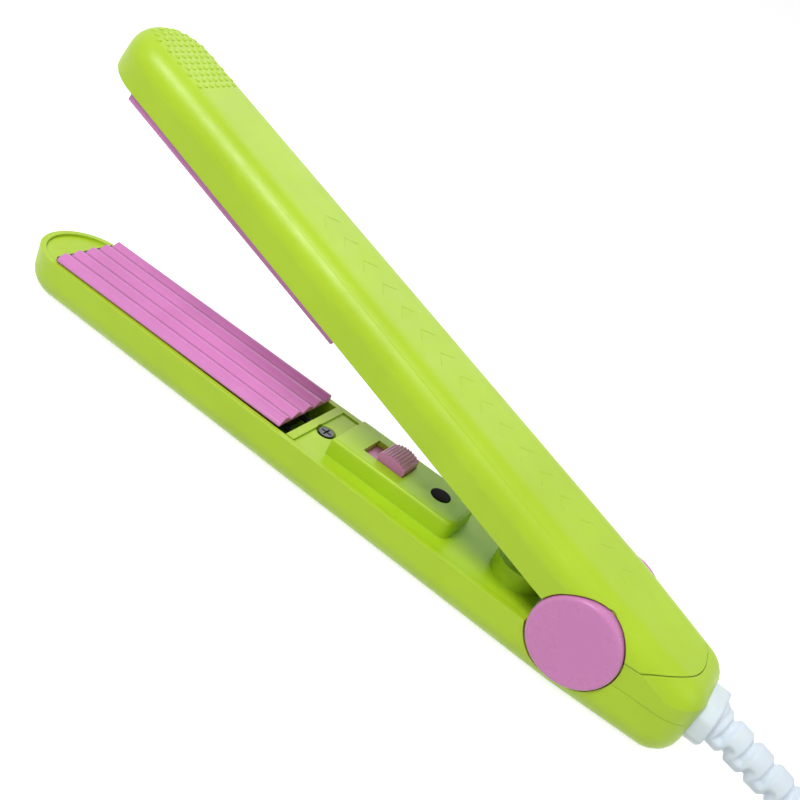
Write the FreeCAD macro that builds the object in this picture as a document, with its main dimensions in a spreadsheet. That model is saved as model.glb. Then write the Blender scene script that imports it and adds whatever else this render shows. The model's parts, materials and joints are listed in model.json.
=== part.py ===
import FreeCAD, Part
import math
import os

import Sketcher

# Hair crimper, small travel size, lying open on the back of its lower arm.
# Frame: +Z up, +X towards the cord, Y across; the near side is -Y.
# The origin is the middle of the object's footprint on the surface that it lies on.
# Each arm is drawn in its own frame, with the arm's back on the plane Z = 0.
# The lower arm stays there; the upper arm is turned over and swung open about the hinge.

V = FreeCAD.Vector
X_AXIS = V(1, 0, 0)
Y_AXIS = V(0, 1, 0)
Z_AXIS = V(0, 0, 1)

# Driving dimensions in millimetres, and counts where the name says so.
# A station is a distance from the hinge axis towards the tip.
DIMENSIONS = {
    # Arms, seen from above
    "hinge_x": 57.0,
    "plate_station": 68.2,
    "plate_length": 61.4,
    "nose_lead": 9.9,
    "tail_length": 24.0,
    "nose_half": 9.9,
    "hip_half": 11.6,
    "tail_half": 10.4,
    "tail_round": 6.0,
    # Arms, seen from the side
    "rim_height": 9.7,
    "rim_clear": 1.6,
    "hinge_lift": 0.7,
    "wall": 1.4,
    "back_edge": 5.2,
    "shelf_depth": 0.6,
    "shelf_inset": 1.3,
    "open_angle": 17.3,
    # Tail seam between the arms, from the cap round the tongue that the upper arm ends in
    "seam_start": 7.3,
    "seam_start_depth": 5.4,
    "seam_end_depth": 1.6,
    "seam_gap": 0.15,
    "tongue_start": 6.7,
    "tongue_radius": 11.4,
    "upper_form_length": 23.6,
    "guide_depth": 3.0,
    # Heating plates
    "plate_side": 0.8,
    "plate_rest": 0.25,
    "plate_gap": 0.34,
    "ridge_depth": 0.8,
    "ridge_radius": 0.3,
    "foot_depth": 1.5,
    "fit": 0.15,
    "seat_gap": 0.02,
    "boss_wall": 0.8,
    "screw_floor": 0.6,
    # Plate holders, heaters and clips
    "holder_lead": 0.8,
    "holder_set_back": 2.8,
    "holder_side": 0.35,
    "holder_wall": 1.1,
    "holder_floor": 0.8,
    "rest_half": 4.0,
    "rest_thick": 1.2,
    "lug_rise": 0.6,
    "heater_inset": 6.0,
    "heater_half": 5.8,
    "heater_thick": 2.6,
    "clip_thick": 0.4,
    "clip_bow": 0.6,
    "clip_half": 4.0,
    "clip_foot": 5.0,
    # Inner covers
    "cover_set_back": 2.0,
    "deck_thick": 1.2,
    "deck_drop": 0.3,
    "deck_end": 8.2,
    "lip_rise": 0.5,
    "lip_length": 1.9,
    "cover_gap": 0.12,
    "saddle_drop": 1.2,
    "tail_gap": 0.38,
    "upper_deck_drop": 1.1,
    # Switch platform
    "platform_station": 58.4,
    "platform_length": 28.8,
    "platform_half": 6.1,
    "platform_rise": 3.9,
    "platform_wall": 1.2,
    "platform_edge": 0.6,
    "platform_corner": 2.2,
    "platform_front": 0.8,
    "platform_rear": 0.6,
    # Switch
    "knob_station": 46.5,
    "knob_length": 6.1,
    "knob_half": 2.9,
    "knob_rise": 2.5,
    "knob_crown": 5.2,
    "knob_ribs": 8,
    "rib_pitch": 0.7,
    "rib_radius": 0.22,
    "knob_travel": 3.0,
    "skirt_thick": 1.0,
    "skirt_half": 4.4,
    "skirt_lap": 0.2,
    "well_end_play": 2.5,
    "well_side_play": 1.4,
    "well_play": 1.2,
    "switch_length": 8.6,
    "switch_half": 2.2,
    "switch_height": 2.5,
    "lever_half": 0.8,
    "lever_length": 1.8,
    "lever_sink": 1.2,
    # Circuit board and what is on it
    "board_station": 56.4,
    "board_length": 24.0,
    "board_half": 5.7,
    "board_thick": 1.1,
    "board_gap": 0.1,
    "board_post_radius": 1.5,
    "board_post_inset": 3.0,
    "board_peg": 0.8,
    "led_station": 35.8,
    "led_radius": 1.45,
    "led_flange": 1.9,
    "led_flange_rise": 0.9,
    "led_sink": 0.4,
    "led_gap": 0.25,
    "resistor_station": 39.6,
    "resistor_radius": 0.8,
    "resistor_length": 4.0,
    # Cover screws
    "screw_station": 62.4,
    "screw_shank": 1.0,
    "screw_head": 1.6,
    "screw_head_height": 1.0,
    "screw_recess": 2.1,
    "recess_floor": 0.9,
    "screw_length": 5.0,
    "post_radius": 2.3,
    "thread_gap": 0.05,
    # Hinge
    "pin_radius": 1.5,
    "pin_gap": 0.05,
    "ear_thick": 1.4,
    "ear_radius": 5.6,
    "barrel_radius": 3.3,
    "barrel_gap": 0.2,
    "web_thick": 2.1,
    "web_half": 3.4,
    "cap_radius": 9.0,
    "cap_thick": 2.55,
    "cap_proud": 0.4,
    "cap_edge": 0.8,
    "cap_gap": 0.3,
    "cap_seat": 0.15,
    "cap_room": 0.4,
    "peg_radius": 0.9,
    "peg_offset": 4.2,
    "peg_length": 1.1,
    # Opening spring and its seats
    "spring_station": 15.6,
    "spring_radius": 2.8,
    "spring_wire": 0.8,
    "spring_turns": 6,
    "spring_gap": 0.3,
    "cup_wall": 1.8,
    "cup_play": 0.7,
    "cup_rise": 3.6,
    "cup_depth": 4.6,
    "seat_play": 1.2,
    "seat_wall": 1.2,
    "seat_depth": 2.7,
    # Cord outlet and strain relief
    "cord_radius": 2.5,
    "cord_drop": 0.4,
    "cord_start": 16.6,
    "cord_bend": 26.0,
    "bore_gap": 0.05,
    "block_half": 5.7,
    "block_below": 4.8,
    "block_above": 4.5,
    "block_chamfer": 2.4,
    "block_out": 3.2,
    "flange_thick": 1.6,
    "flange_setback": 0.7,
    "flange_grow": 0.9,
    "sleeve_length": 22.4,
    "sleeve_end_height": 3.9,
    "sleeve_root_wall": 1.25,
    "sleeve_end_wall": 0.8,
    "sleeve_slots": 8,
    "slot_first": 3.4,
    "slot_pitch": 2.45,
    "slot_width": 0.95,
    "slot_reach": 0.9,
    # Cord clamp in the tail
    "clamp_station": 18.0,
    "clamp_length": 2.8,
    "clamp_half": 6.8,
    "clamp_over": 0.5,
    "clamp_lift": 1.2,
    "clamp_post": 1.7,
    "clamp_post_y": 4.8,
    "clamp_screw_head": 1.4,
    "clamp_head_height": 0.7,
    "clamp_screw_length": 4.5,
    "clamp_rib": 2.0,
    # Wires inside the arms
    "wire_radius": 0.6,
    "wire_spread": 3.2,
    "wire_hole": 0.8,
    # Hank of cord that is put away, and its tie
    "hank_x": 137.0,
    "hank_y": -12.5,
    "hank_run": 75.0,
    "hank_fold": 15.0,
    "hank_lead": 5.0,
    "turn_gap": 0.5,
    "top_run": 6.9,
    "tie_x": 141.0,
    "tie_thick": 0.6,
    "tie_width": 6.0,
    "tie_gap": 0.2,
    # Mains plug
    "plug_length": 35.3,
    "plug_width": 35.3,
    "plug_height": 13.7,
    "plug_edge": 3.0,
    "neck_length": 9.0,
    "neck_radius": 4.2,
    "plug_x": 171.5,
    "plug_play": 0.475,
    "prong_clear": 0.95,
    "plug_shoulder": 14.0,
    "plug_taper": 16.0,
    "prong_spacing": 18.6,
    "prong_radius": 2.0,
    "prong_sleeve": 1.7,
    "prong_length": 19.0,
    "prong_sleeve_length": 10.0,
    "prong_root": 6.0,
    "prong_core": 1.2,
    "prong_tip": 0.8,
}

os.makedirs("parts", exist_ok=True)
doc = FreeCAD.newDocument("hair_crimper")
sheet = doc.addObject("Spreadsheet::Sheet", "Sizes")
for row, (alias, number) in enumerate(DIMENSIONS.items(), start=1):
    sheet.set(f"A{row}", alias)
    sheet.set(f"B{row}", str(number))
    sheet.setAlias(f"B{row}", alias)
doc.recompute()


class Size:
    """A length that knows its number and the sheet formula that it comes from."""

    def __init__(self, value, formula):
        self.value = float(value)
        self.formula = formula

    def __add__(self, other):
        other = size(other)
        return Size(self.value + other.value, f"({self.formula} + {other.formula})")

    def __sub__(self, other):
        other = size(other)
        return Size(self.value - other.value, f"({self.formula} - {other.formula})")

    def __mul__(self, other):
        other = size(other)
        return Size(self.value * other.value, f"({self.formula} * {other.formula})")

    def __truediv__(self, other):
        other = size(other)
        return Size(self.value / other.value, f"({self.formula} / {other.formula})")

    def __radd__(self, other):
        return size(other) + self

    def __rsub__(self, other):
        return size(other) - self

    def __rmul__(self, other):
        return size(other) * self

    def __neg__(self):
        return size(0) - self

    def __float__(self):
        return self.value


def size(item):
    """A Size for a sheet alias, a plain number or a Size."""
    if isinstance(item, Size):
        return item
    if isinstance(item, str):
        return Size(sheet.get(item), f"Sizes.{item}")
    return Size(item, repr(float(item)))


def half(item):
    return size(item) / 2


def bind(target, path, item):
    """Tie a property or constraint of target to the sheet."""
    target.setExpression(path, size(item).formula)


# Primitives and booleans, with their sizes tied to the sheet

def block(name, x_span, y_span, z_span):
    """A box between two sizes along each axis."""
    box = doc.addObject("Part::Box", name)
    spans = (("Length", "x", x_span), ("Width", "y", y_span), ("Height", "z", z_span))
    for side, axis, (low, high) in spans:
        bind(box, side, size(high) - low)
        bind(box, f"Placement.Base.{axis}", low)
    return box


def rod(name, radius, base, length, axis=Z_AXIS):
    """A cylinder from base along an axis."""
    cylinder = doc.addObject("Part::Cylinder", name)
    cylinder.Placement = FreeCAD.Placement(V(), FreeCAD.Rotation(Z_AXIS, axis))
    bind(cylinder, "Radius", radius)
    bind(cylinder, "Height", length)
    for letter, item in zip("xyz", base):
        bind(cylinder, f"Placement.Base.{letter}", item)
    return cylinder


def across(name, radius, x, z, y_span):
    """A cylinder along Y between two sizes."""
    low, high = y_span
    return rod(name, radius, (x, low, z), size(high) - low, Y_AXIS)


def cut(name, base, *tools):
    result = base
    for number, tool in enumerate(tools, start=1):
        step = doc.addObject("Part::Cut", f"{name}_{number}" if number < len(tools) else name)
        step.Base = result
        step.Tool = tool
        result = step
    return result


def join(name, *pieces):
    fusion = doc.addObject("Part::MultiFuse", name)
    fusion.Shapes = list(pieces)
    fusion.Refine = True
    return fusion


def overlap(name, *pieces):
    shared = doc.addObject("Part::MultiCommon", name)
    shared.Shapes = list(pieces)
    return shared


def group(name, *pieces):
    """Separate solids that count as one piece."""
    compound = doc.addObject("Part::Compound", name)
    compound.Links = list(pieces)
    return compound


# Sketches and features, with every corner tied to the sheet

def plane_of(body, role):
    return next(part for part in body.Origin.OriginFeatures if part.Role == role)


def sketch_on(body, name, role="XY_Plane", height=0):
    """An empty sketch on one of the body's own planes, moved along the plane's normal."""
    sketch = body.newObject("Sketcher::SketchObject", name)
    sketch.AttachmentSupport = [(plane_of(body, role), "")]
    sketch.MapMode = "FlatFace"
    bind(sketch, "AttachmentOffset.Base.z", height)
    return sketch


def arc_between(start, end, radius, left):
    """The centre of the arc shorter than a half turn; left says on which side of the chord."""
    middle = (start + end) * 0.5
    chord = end - start
    rise = math.sqrt(max(radius * radius - chord.Length ** 2 / 4, 0.0))
    normal = V(-chord.y, chord.x, 0).normalize()
    return middle + normal * (rise if left else -rise)


def outline(sketch, corners):
    """A closed outline. A corner is (x, y), or (x, y, radius) where an arc leads to the next one.

    A positive radius bulges outwards on an outline that runs counter-clockwise.
    """
    first = sketch.GeometryCount
    places = [V(float(size(corner[0])), float(size(corner[1])), 0) for corner in corners]
    count = len(corners)
    ends = []
    for index, corner in enumerate(corners):
        start = places[index]
        end = places[(index + 1) % count]
        if len(corner) == 2:
            sketch.addGeometry(Part.LineSegment(start, end), False)
            ends.append((1, 2))
            continue
        radius = size(corner[2])
        bulge = float(radius) > 0
        centre = arc_between(start, end, abs(float(radius)), bulge)
        circle = Part.Circle(centre, Z_AXIS, abs(float(radius)))
        angles = [math.atan2((spot - centre).y, (spot - centre).x) for spot in (start, end)]
        if not bulge:
            angles.reverse()
        sketch.addGeometry(Part.ArcOfCircle(circle, angles[0], angles[1]), False)
        ends.append((1, 2) if bulge else (2, 1))
    for index in range(count):
        after = (index + 1) % count
        sketch.addConstraint(Sketcher.Constraint(
            "Coincident", first + index, ends[index][1], first + after, ends[after][0]))
    for index, corner in enumerate(corners):
        for kind, item in (("DistanceX", corner[0]), ("DistanceY", corner[1])):
            number = sketch.addConstraint(Sketcher.Constraint(
                kind, -1, 1, first + index, ends[index][0], float(size(item))))
            bind(sketch, f"Constraints[{number}]", item)
        if len(corner) == 3:
            radius = size(corner[2])
            number = sketch.addConstraint(Sketcher.Constraint(
                "Radius", first + index, abs(float(radius))))
            bind(sketch, f"Constraints[{number}]", radius if float(radius) > 0 else -radius)
    return sketch


def pad(body, name, sketch, length, backwards=False):
    feature = body.newObject("PartDesign::Pad", name)
    feature.Profile = sketch
    feature.Reversed = backwards
    bind(feature, "Length", length)
    doc.recompute()
    return feature


def pocket(body, name, sketch, length, backwards=False):
    before = body.Shape.Volume
    feature = body.newObject("PartDesign::Pocket", name)
    feature.Profile = sketch
    feature.Reversed = backwards
    bind(feature, "Length", length)
    doc.recompute()
    if body.Shape.Volume > before - 1e-6:
        raise RuntimeError(f"{name} cuts nothing")
    return feature


def circle(sketch, x, y, radius):
    """A circle whose centre and radius are tied to the sheet."""
    ring = sketch.addGeometry(Part.Circle(V(float(size(x)), float(size(y)), 0), Z_AXIS,
                                          float(size(radius))), False)
    for kind, item in (("DistanceX", x), ("DistanceY", y)):
        number = sketch.addConstraint(Sketcher.Constraint(kind, -1, 1, ring, 3, float(size(item))))
        bind(sketch, f"Constraints[{number}]", item)
    number = sketch.addConstraint(Sketcher.Constraint("Radius", ring, float(size(radius))))
    bind(sketch, f"Constraints[{number}]", radius)
    return sketch


def repeat(body, name, feature, sketch, length, count):
    """The same feature again along the sketch's horizontal axis."""
    pattern = body.newObject("PartDesign::LinearPattern", name)
    pattern.Originals = [feature]
    pattern.Direction = (sketch, ["H_Axis"])
    pattern.Occurrences = count
    bind(pattern, "Length", length)
    body.Tip = pattern
    doc.recompute()
    return pattern


def new_body(name):
    return doc.addObject("PartDesign::Body", name)


def prism(name, corners, role, start, length, backwards=False):
    """A body that is one outline pushed along its plane's normal."""
    body = new_body(name)
    sketch = outline(sketch_on(body, f"{name}_outline", role, start), corners)
    pad(body, f"{name}_pad", sketch, length, backwards)
    return body


def rounded(name, base, radius_of):
    """Round each edge for which radius_of gives a radius at its two ends."""
    doc.recompute()
    fillet = doc.addObject("Part::Fillet", name)
    fillet.Base = base
    rows = []
    for number, edge in enumerate(base.Shape.Edges, start=1):
        radii = radius_of(edge)
        if radii:
            rows.append((number, radii[0], radii[1]))
    fillet.Edges = rows
    doc.recompute()
    return fillet


def cosine(angle):
    angle = size(angle)
    return Size(math.cos(math.radians(angle.value)), f"cos({angle.formula} * 1 deg)")


def sine(angle):
    angle = size(angle)
    return Size(math.sin(math.radians(angle.value)), f"sin({angle.formula} * 1 deg)")


def root(item):
    item = size(item)
    return Size(math.sqrt(item.value), f"sqrt({item.formula})")


# Places that several pieces share

HINGE_X = size("hinge_x")
RIM = size("rim_height")
MIDDLE = RIM + "rim_clear"
HINGE_Z = MIDDLE + "hinge_lift"
UPPER_HINGE_Z = MIDDLE - "hinge_lift"
OPEN = size("open_angle")
WALL = size("wall")
FIT = size("fit")
# Half the depth of cutting blocks that go right through the body
BEYOND = size(30)


def station(name):
    """The X of a distance from the hinge axis towards the tip."""
    return HINGE_X - size(name)


PLATE_REAR = station("plate_station")
PLATE_TIP = PLATE_REAR - "plate_length"
TIP_X = PLATE_TIP - "nose_lead"
NOSE_X = TIP_X + "nose_half"
TAIL_X = HINGE_X + "tail_length"
SEAM_X = HINGE_X + "seam_start"
TONGUE_X = HINGE_X + "tongue_start"
UPPER_TAIL_X = TONGUE_X + "tongue_radius"
UPPER_FORM_X = HINGE_X + "upper_form_length"
HOLDER_TIP = PLATE_TIP - "holder_lead"
HOLDER_REAR = PLATE_REAR - "holder_set_back"
CAVITY_TIP = HOLDER_TIP - FIT
COVER_TIP = PLATE_REAR + "cover_set_back"
DECK_TOP = RIM - "deck_drop"
DECK_BOTTOM = DECK_TOP - "deck_thick"
DECK_END = station("deck_end")
SADDLE_BOTTOM = DECK_BOTTOM - "saddle_drop"
PLATE_HALF = size("nose_half") - "plate_side"
PLATE_BASE = RIM + "plate_rest"
FOOT_BOTTOM = PLATE_BASE - "foot_depth"
HOLDER_HALF = size("nose_half") - WALL - "holder_side"
FOOT_HALF = HOLDER_HALF - "holder_wall"
HEATER_BOTTOM = FOOT_BOTTOM - FIT - "heater_thick"
CLIP_BOTTOM = HEATER_BOTTOM - "clip_bow" - "clip_thick"
HOLDER_BOTTOM = CLIP_BOTTOM - "holder_floor"
HOLDER_TOP = RIM - FIT
HEATER_REAR = HOLDER_REAR - "heater_inset"
HEATER_MIDDLE = HEATER_BOTTOM + half("heater_thick")
CREST = MIDDLE + half("ridge_depth") - half("plate_gap")
VALLEY = CREST - "ridge_depth"
CAP_OUTER = size("hip_half") + "cap_proud"
CAP_INNER = CAP_OUTER - "cap_thick"
EAR_OUTER = CAP_INNER - "cap_seat"
EAR_INNER = EAR_OUTER - "ear_thick"
BARREL_HALF = EAR_INNER - "barrel_gap"
SADDLE_HALF = BARREL_HALF - "barrel_gap"
PLATFORM_TIP = station("platform_station")
PLATFORM_REAR = PLATFORM_TIP + "platform_length"
PLATFORM_TOP = DECK_TOP + "platform_rise"
ROOF = PLATFORM_TOP - "platform_wall"
KNOB_X = station("knob_station")
SLOT_TIP = KNOB_X - half("knob_length") - "knob_travel" - FIT
SLOT_REAR = KNOB_X + half("knob_length") + FIT
SLOT_HALF = size("knob_half") + FIT
BOARD_TOP = DECK_BOTTOM - "board_gap"
BOARD_BOTTOM = BOARD_TOP - "board_thick"
LED_X = station("led_station")
SCREW_X = station("screw_station")
SCREW_SEAT = DECK_TOP - "recess_floor"
SPRING_X = station("spring_station")
SPRING_OUTER = size("spring_radius") + half("spring_wire")
CUP_BORE = SPRING_OUTER + "cup_play"
SEAT_BORE = SPRING_OUTER + "seat_play"
CUP_TOP = DECK_TOP + "cup_rise"
CUP_FLOOR = CUP_TOP - "cup_depth"
UPPER_DECK_TOP = RIM - "upper_deck_drop"
SEAT_FLOOR = UPPER_DECK_TOP - "seat_depth"
CORD_Z = RIM - "cord_drop"
FLANGE_REAR = TAIL_X - WALL - "flange_setback"
FLANGE_FRONT = FLANGE_REAR - "flange_thick"


def half_width(x, inset=0):
    """Half the width of an arm at a place between nose and hinge, less an inset."""
    share = (size(x) - NOSE_X) / (HINGE_X - NOSE_X)
    return size("nose_half") + (size("hip_half") - "nose_half") * share - inset


def swung(x, height):
    """Where a point of the upper arm's own frame lies at rest, as X and Z of the whole."""
    ahead = HINGE_X - x
    above = UPPER_HINGE_Z - height
    return (HINGE_X - ahead * cosine(OPEN) + above * sine(OPEN),
            HINGE_Z + ahead * sine(OPEN) + above * cosine(OPEN))


TAIL_FRONT = swung(SEAM_X, size("seam_start_depth"))[0] + "tail_gap"
TURNED_OVER = FreeCAD.Placement(V(0, 0, 2 * float(MIDDLE)), FreeCAD.Rotation(X_AXIS, 180))
SWUNG_OPEN = FreeCAD.Placement(
    V(), FreeCAD.Rotation(Y_AXIS, float(OPEN)), V(float(HINGE_X), 0, float(HINGE_Z)))
UPPER_PLACE = SWUNG_OPEN.multiply(TURNED_OVER)

nodes = {}


def keep(name, piece, place=None):
    """Count a finished object as the sub-part of that name."""
    piece.Label = name
    if place:
        piece.Placement = place.multiply(piece.Placement)
    nodes[name] = piece


# Outlines and blanks that both arms share

def arm_corners(tail_x):
    """The outline of an arm from above: round nose, tapered sides, rounded tail."""
    nose_half = size("nose_half")
    hip_half = size("hip_half")
    side = size("tail_half")
    tail_round = size("tail_round")
    flat = side - tail_round
    return [
        (TIP_X, 0, nose_half),
        (NOSE_X, -nose_half),
        (HINGE_X, -hip_half),
        (tail_x - tail_round, -side, tail_round),
        (tail_x, -flat),
        (tail_x, flat, tail_round),
        (tail_x - tail_round, side),
        (HINGE_X, hip_half),
        (NOSE_X, nose_half, nose_half),
    ]


def arm_blank(name, tail_x, depth):
    """The solid outer form of an arm, back down."""
    corners = arm_corners(tail_x)
    body = prism(f"{name}_blank", corners, "XY_Plane", 0, depth)

    def radii(edge):
        ends = [vertex.Point for vertex in edge.Vertexes]
        if any(abs(end.z) > 1e-6 for end in ends):
            return None
        return [float(size("back_edge"))] * 2
    return rounded(f"{name}_form", body, radii)


def cavity_rear(rear, inner, ring):
    """The corners at a room's rear, from the near side to the far side."""
    if not ring:
        return [(rear, -inner), (rear, inner)]
    return [
        (rear - ring, -inner, ring),
        (rear, -(inner - ring)),
        (rear, inner - ring, ring),
        (rear - ring, inner),
    ]


def arm_cavity(name, rear, rear_half, ring=None):
    """The room inside an arm, open at the rim."""
    corners = [
        (CAVITY_TIP, -(half_width(CAVITY_TIP, WALL))),
        (HINGE_X, -(size("hip_half") - WALL)),
        *cavity_rear(rear, rear_half, ring),
        (HINGE_X, size("hip_half") - WALL),
        (CAVITY_TIP, half_width(CAVITY_TIP, WALL)),
    ]
    body = prism(f"{name}_cavity", corners, "XY_Plane", WALL, RIM)

    square_ends = [CAVITY_TIP] if ring else [CAVITY_TIP, rear]

    def radii(edge):
        ends = [vertex.Point for vertex in edge.Vertexes]
        crosswise = any(all(abs(end.x - float(x)) < 1e-6 for end in ends) for x in square_ends)
        if crosswise or any(abs(end.z - float(WALL)) > 1e-6 for end in ends):
            return None
        return [float(size("back_edge")) - float(WALL)] * 2
    return rounded(f"{name}_room", body, radii)


def nose_shelf(name):
    """The shallow dish in the top of the nose."""
    inset = size("shelf_inset")
    dish = size("nose_half") - inset
    corners = [
        (TIP_X + inset, 0, dish),
        (NOSE_X, -dish),
        (CAVITY_TIP + 3, -dish),
        (CAVITY_TIP + 3, dish),
        (NOSE_X, dish, dish),
    ]
    return prism(f"{name}_shelf", corners, "XY_Plane", RIM - "shelf_depth", 2)


def cap_recess(name, height, floor):
    """Two round recesses for the hinge caps, with their floors at a distance from the middle."""
    radius = size("cap_radius") + "cap_gap"
    reach = CAP_OUTER + 4
    return [
        across(f"{name}_recess_near", radius, HINGE_X, height, (-reach, -floor)),
        across(f"{name}_recess_far", radius, HINGE_X, height, (floor, reach)),
    ]


def holder_rests(arm):
    """Two ribs on an arm's floor that carry its plate holder."""
    rests = []
    for number, x in enumerate((HOLDER_TIP + "heater_inset", HOLDER_REAR - "heater_inset"), start=1):
        rests.append(block(f"{arm}_rest_{number}", (x - half("rest_thick"), x + half("rest_thick")),
                           (-size("rest_half"), size("rest_half")), (half(WALL), HOLDER_BOTTOM - FIT)))
    return rests


def screw_post(name, top):
    """A post on the arm's floor with the hole that a cover screw bites into."""
    hole = size("screw_shank") + "thread_gap"
    post = rod(f"{name}_post", "post_radius", (SCREW_X, 0, half(WALL)), top - half(WALL))
    bore = rod(f"{name}_post_bore", hole, (SCREW_X, 0, WALL + "screw_floor"), top)
    return post, bore


# Lower housing

def lower_housing():
    form = arm_blank("lower", TAIL_X, RIM)
    room = arm_cavity("lower", TAIL_X - WALL, size("tail_half") - WALL, size("tail_round") - WALL)
    shell = cut("lower_shell", form, room, nose_shelf("lower"))
    ears = []
    for side, (low, high) in {"near": (-size("hip_half"), -EAR_INNER),
                              "far": (EAR_INNER, size("hip_half"))}.items():
        cheek = block(f"lower_cheek_{side}",
                      (HINGE_X - "ear_radius", HINGE_X + "ear_radius"), (low, high), (0, RIM))
        ears.append(overlap(f"lower_cheek_trim_{side}", cheek, form))
        disc_span = (-EAR_OUTER, -EAR_INNER) if side == "near" else (EAR_INNER, EAR_OUTER)
        ears.append(across(f"lower_ear_{side}", "ear_radius", HINGE_X, HINGE_Z, disc_span))
        ears.append(block(f"lower_ear_neck_{side}",
                          (HINGE_X - "ear_radius", HINGE_X + "ear_radius"), disc_span,
                          (RIM - 3, HINGE_Z)))
    post, bore = screw_post("lower", DECK_BOTTOM - FIT)
    board_posts = []
    board_tip = station("board_station")
    for number, x in enumerate((board_tip + "board_post_inset",
                                board_tip + "board_length" - "board_post_inset"), start=1):
        board_posts.append(rod(f"board_post_{number}", "board_post_radius", (x, 0, half(WALL)),
                               BOARD_BOTTOM - FIT - half(WALL)))
        board_posts.append(rod(f"board_peg_{number}", "board_peg", (x, 0, half(WALL)),
                               BOARD_TOP - FIT - half(WALL)))
    clamp_x = HINGE_X + "clamp_station"
    clamp_posts = []
    clamp_bores = []
    clamp_base = CORD_Z + "clamp_lift"
    for side, y in (("near", -size("clamp_post_y")), ("far", size("clamp_post_y"))):
        clamp_posts.append(rod(f"clamp_post_{side}", "clamp_post", (clamp_x, y, half(WALL)),
                               clamp_base - FIT - half(WALL)))
        clamp_bores.append(rod(f"clamp_post_bore_{side}", size("screw_shank") + "thread_gap",
                               (clamp_x, y, WALL + "screw_floor"), CORD_Z + 3))
    rib = block("cord_rib", (clamp_x - half("clamp_rib"), clamp_x + half("clamp_rib")),
                (-size("clamp_post_y"), size("clamp_post_y")),
                (half(WALL), CORD_Z - "cord_radius" + 0.6))
    groove = rod("cord_rib_groove", size("cord_radius") + FIT,
                 (clamp_x - "clamp_rib", 0, CORD_Z), size("clamp_rib") * 2, X_AXIS)
    rib_cut = cut("cord_rib_cut", rib, groove)
    solid = join("lower_solid", shell, *ears, post, *board_posts, *clamp_posts, rib_cut,
                 *holder_rests("lower"))
    pin_hole = across("lower_pin_hole", size("pin_radius") + "pin_gap", HINGE_X, HINGE_Z,
                      (-CAP_OUTER - 1, CAP_OUTER + 1))
    pegs = [across(f"peg_hole_{number}", size("peg_radius") + "pin_gap",
                   HINGE_X + side * size("peg_offset"), HINGE_Z, (-CAP_OUTER - 1, CAP_OUTER + 1))
            for number, side in enumerate((-1, 1), start=1)]
    trimmed = cut("lower_trimmed", solid, bore, *clamp_bores, pin_hole, *pegs,
                  *cap_recess("lower", HINGE_Z, CAP_INNER))
    keep("lower_housing", cut("lower_finished", trimmed, outlet("lower")))


def outlet_corners(grow):
    """The eight-cornered outline of the strain relief's block, grown by a clearance."""
    wide = size("block_half") + grow
    low = CORD_Z - "block_below" - grow
    high = CORD_Z + "block_above" + grow
    chamfer = size("block_chamfer")
    return [
        (-wide + chamfer, low),
        (wide - chamfer, low),
        (wide, low + chamfer),
        (wide, high - chamfer),
        (wide - chamfer, high),
        (-wide + chamfer, high),
        (-wide, high - chamfer),
        (-wide, low + chamfer),
    ]


def outlet(name):
    """The way through the tail's end wall for the strain relief."""
    return prism(f"{name}_outlet", outlet_corners(size("bore_gap")), "YZ_Plane",
                 FLANGE_REAR - FIT, WALL + "flange_setback" + FIT + 1)


# Lower inner cover

def side_between(x):
    """Half the width of the lower arm at a place between the hinge and the rounded tail."""
    share = (size(x) - HINGE_X) / (TAIL_X - "tail_round" - HINGE_X)
    return size("hip_half") + (size("tail_half") - "hip_half") * share


def tail_roof():
    """The height of the room under the tail's top."""
    return seam_line(TAIL_FRONT) - WALL


def seam_line(x):
    """The height of the lower tail's top at X, on the line where the upper tail rests."""
    x1, z1 = swung(SEAM_X, size("seam_start_depth"))
    x2, z2 = swung(UPPER_TAIL_X, size("seam_end_depth"))
    return z1 + (z2 - z1) * (size(x) - x1) / (x2 - x1) - "seam_gap"


def tail_cap():
    """The upper half of the lower arm's tail, flush with both housings at the seams."""
    outer = arm_corners(TAIL_X)
    start = TAIL_FRONT
    start_half = side_between(start)
    corners = [(start, -start_half), *outer[3:7], (start, start_half)]
    top = swung(HINGE_X, 0)[1]
    blank = prism("tail_blank", corners, "XY_Plane", RIM + "seat_gap", top - RIM)
    above = prism("tail_seam_cut", [
        (start - 2, seam_line(start - 2)),
        (TAIL_X + 2, seam_line(TAIL_X + 2)),
        (TAIL_X + 2, top + 2),
        (start - 2, top + 2),
    ], "XZ_Plane", -BEYOND, BEYOND * 2)
    rim_x, rim_z = swung(TONGUE_X, RIM)
    round_space = rod("tongue_round_space", size("tongue_radius") + "seam_gap", (rim_x, 0, rim_z),
                      RIM * 2, V(float(sine(OPEN)), 0, float(cosine(OPEN))))
    guide = arm_blank("tail_guide", UPPER_FORM_X, RIM + "guide_depth")
    guide.Placement = UPPER_PLACE
    flush = overlap("tail_flush", blank, guide)
    shaped = cut("tail_shaped", flush, overlap("tongue_space", above, round_space))
    inner = size("tail_half") - WALL
    room = prism("tail_room", [
        (start + WALL, -inner),
        *cavity_rear(TAIL_X - WALL, inner, size("tail_round") - WALL),
        (start + WALL, inner),
    ], "XY_Plane", RIM - 1, tail_roof() - RIM + 1)
    return cut("tail_hollow", shaped, room)


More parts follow.
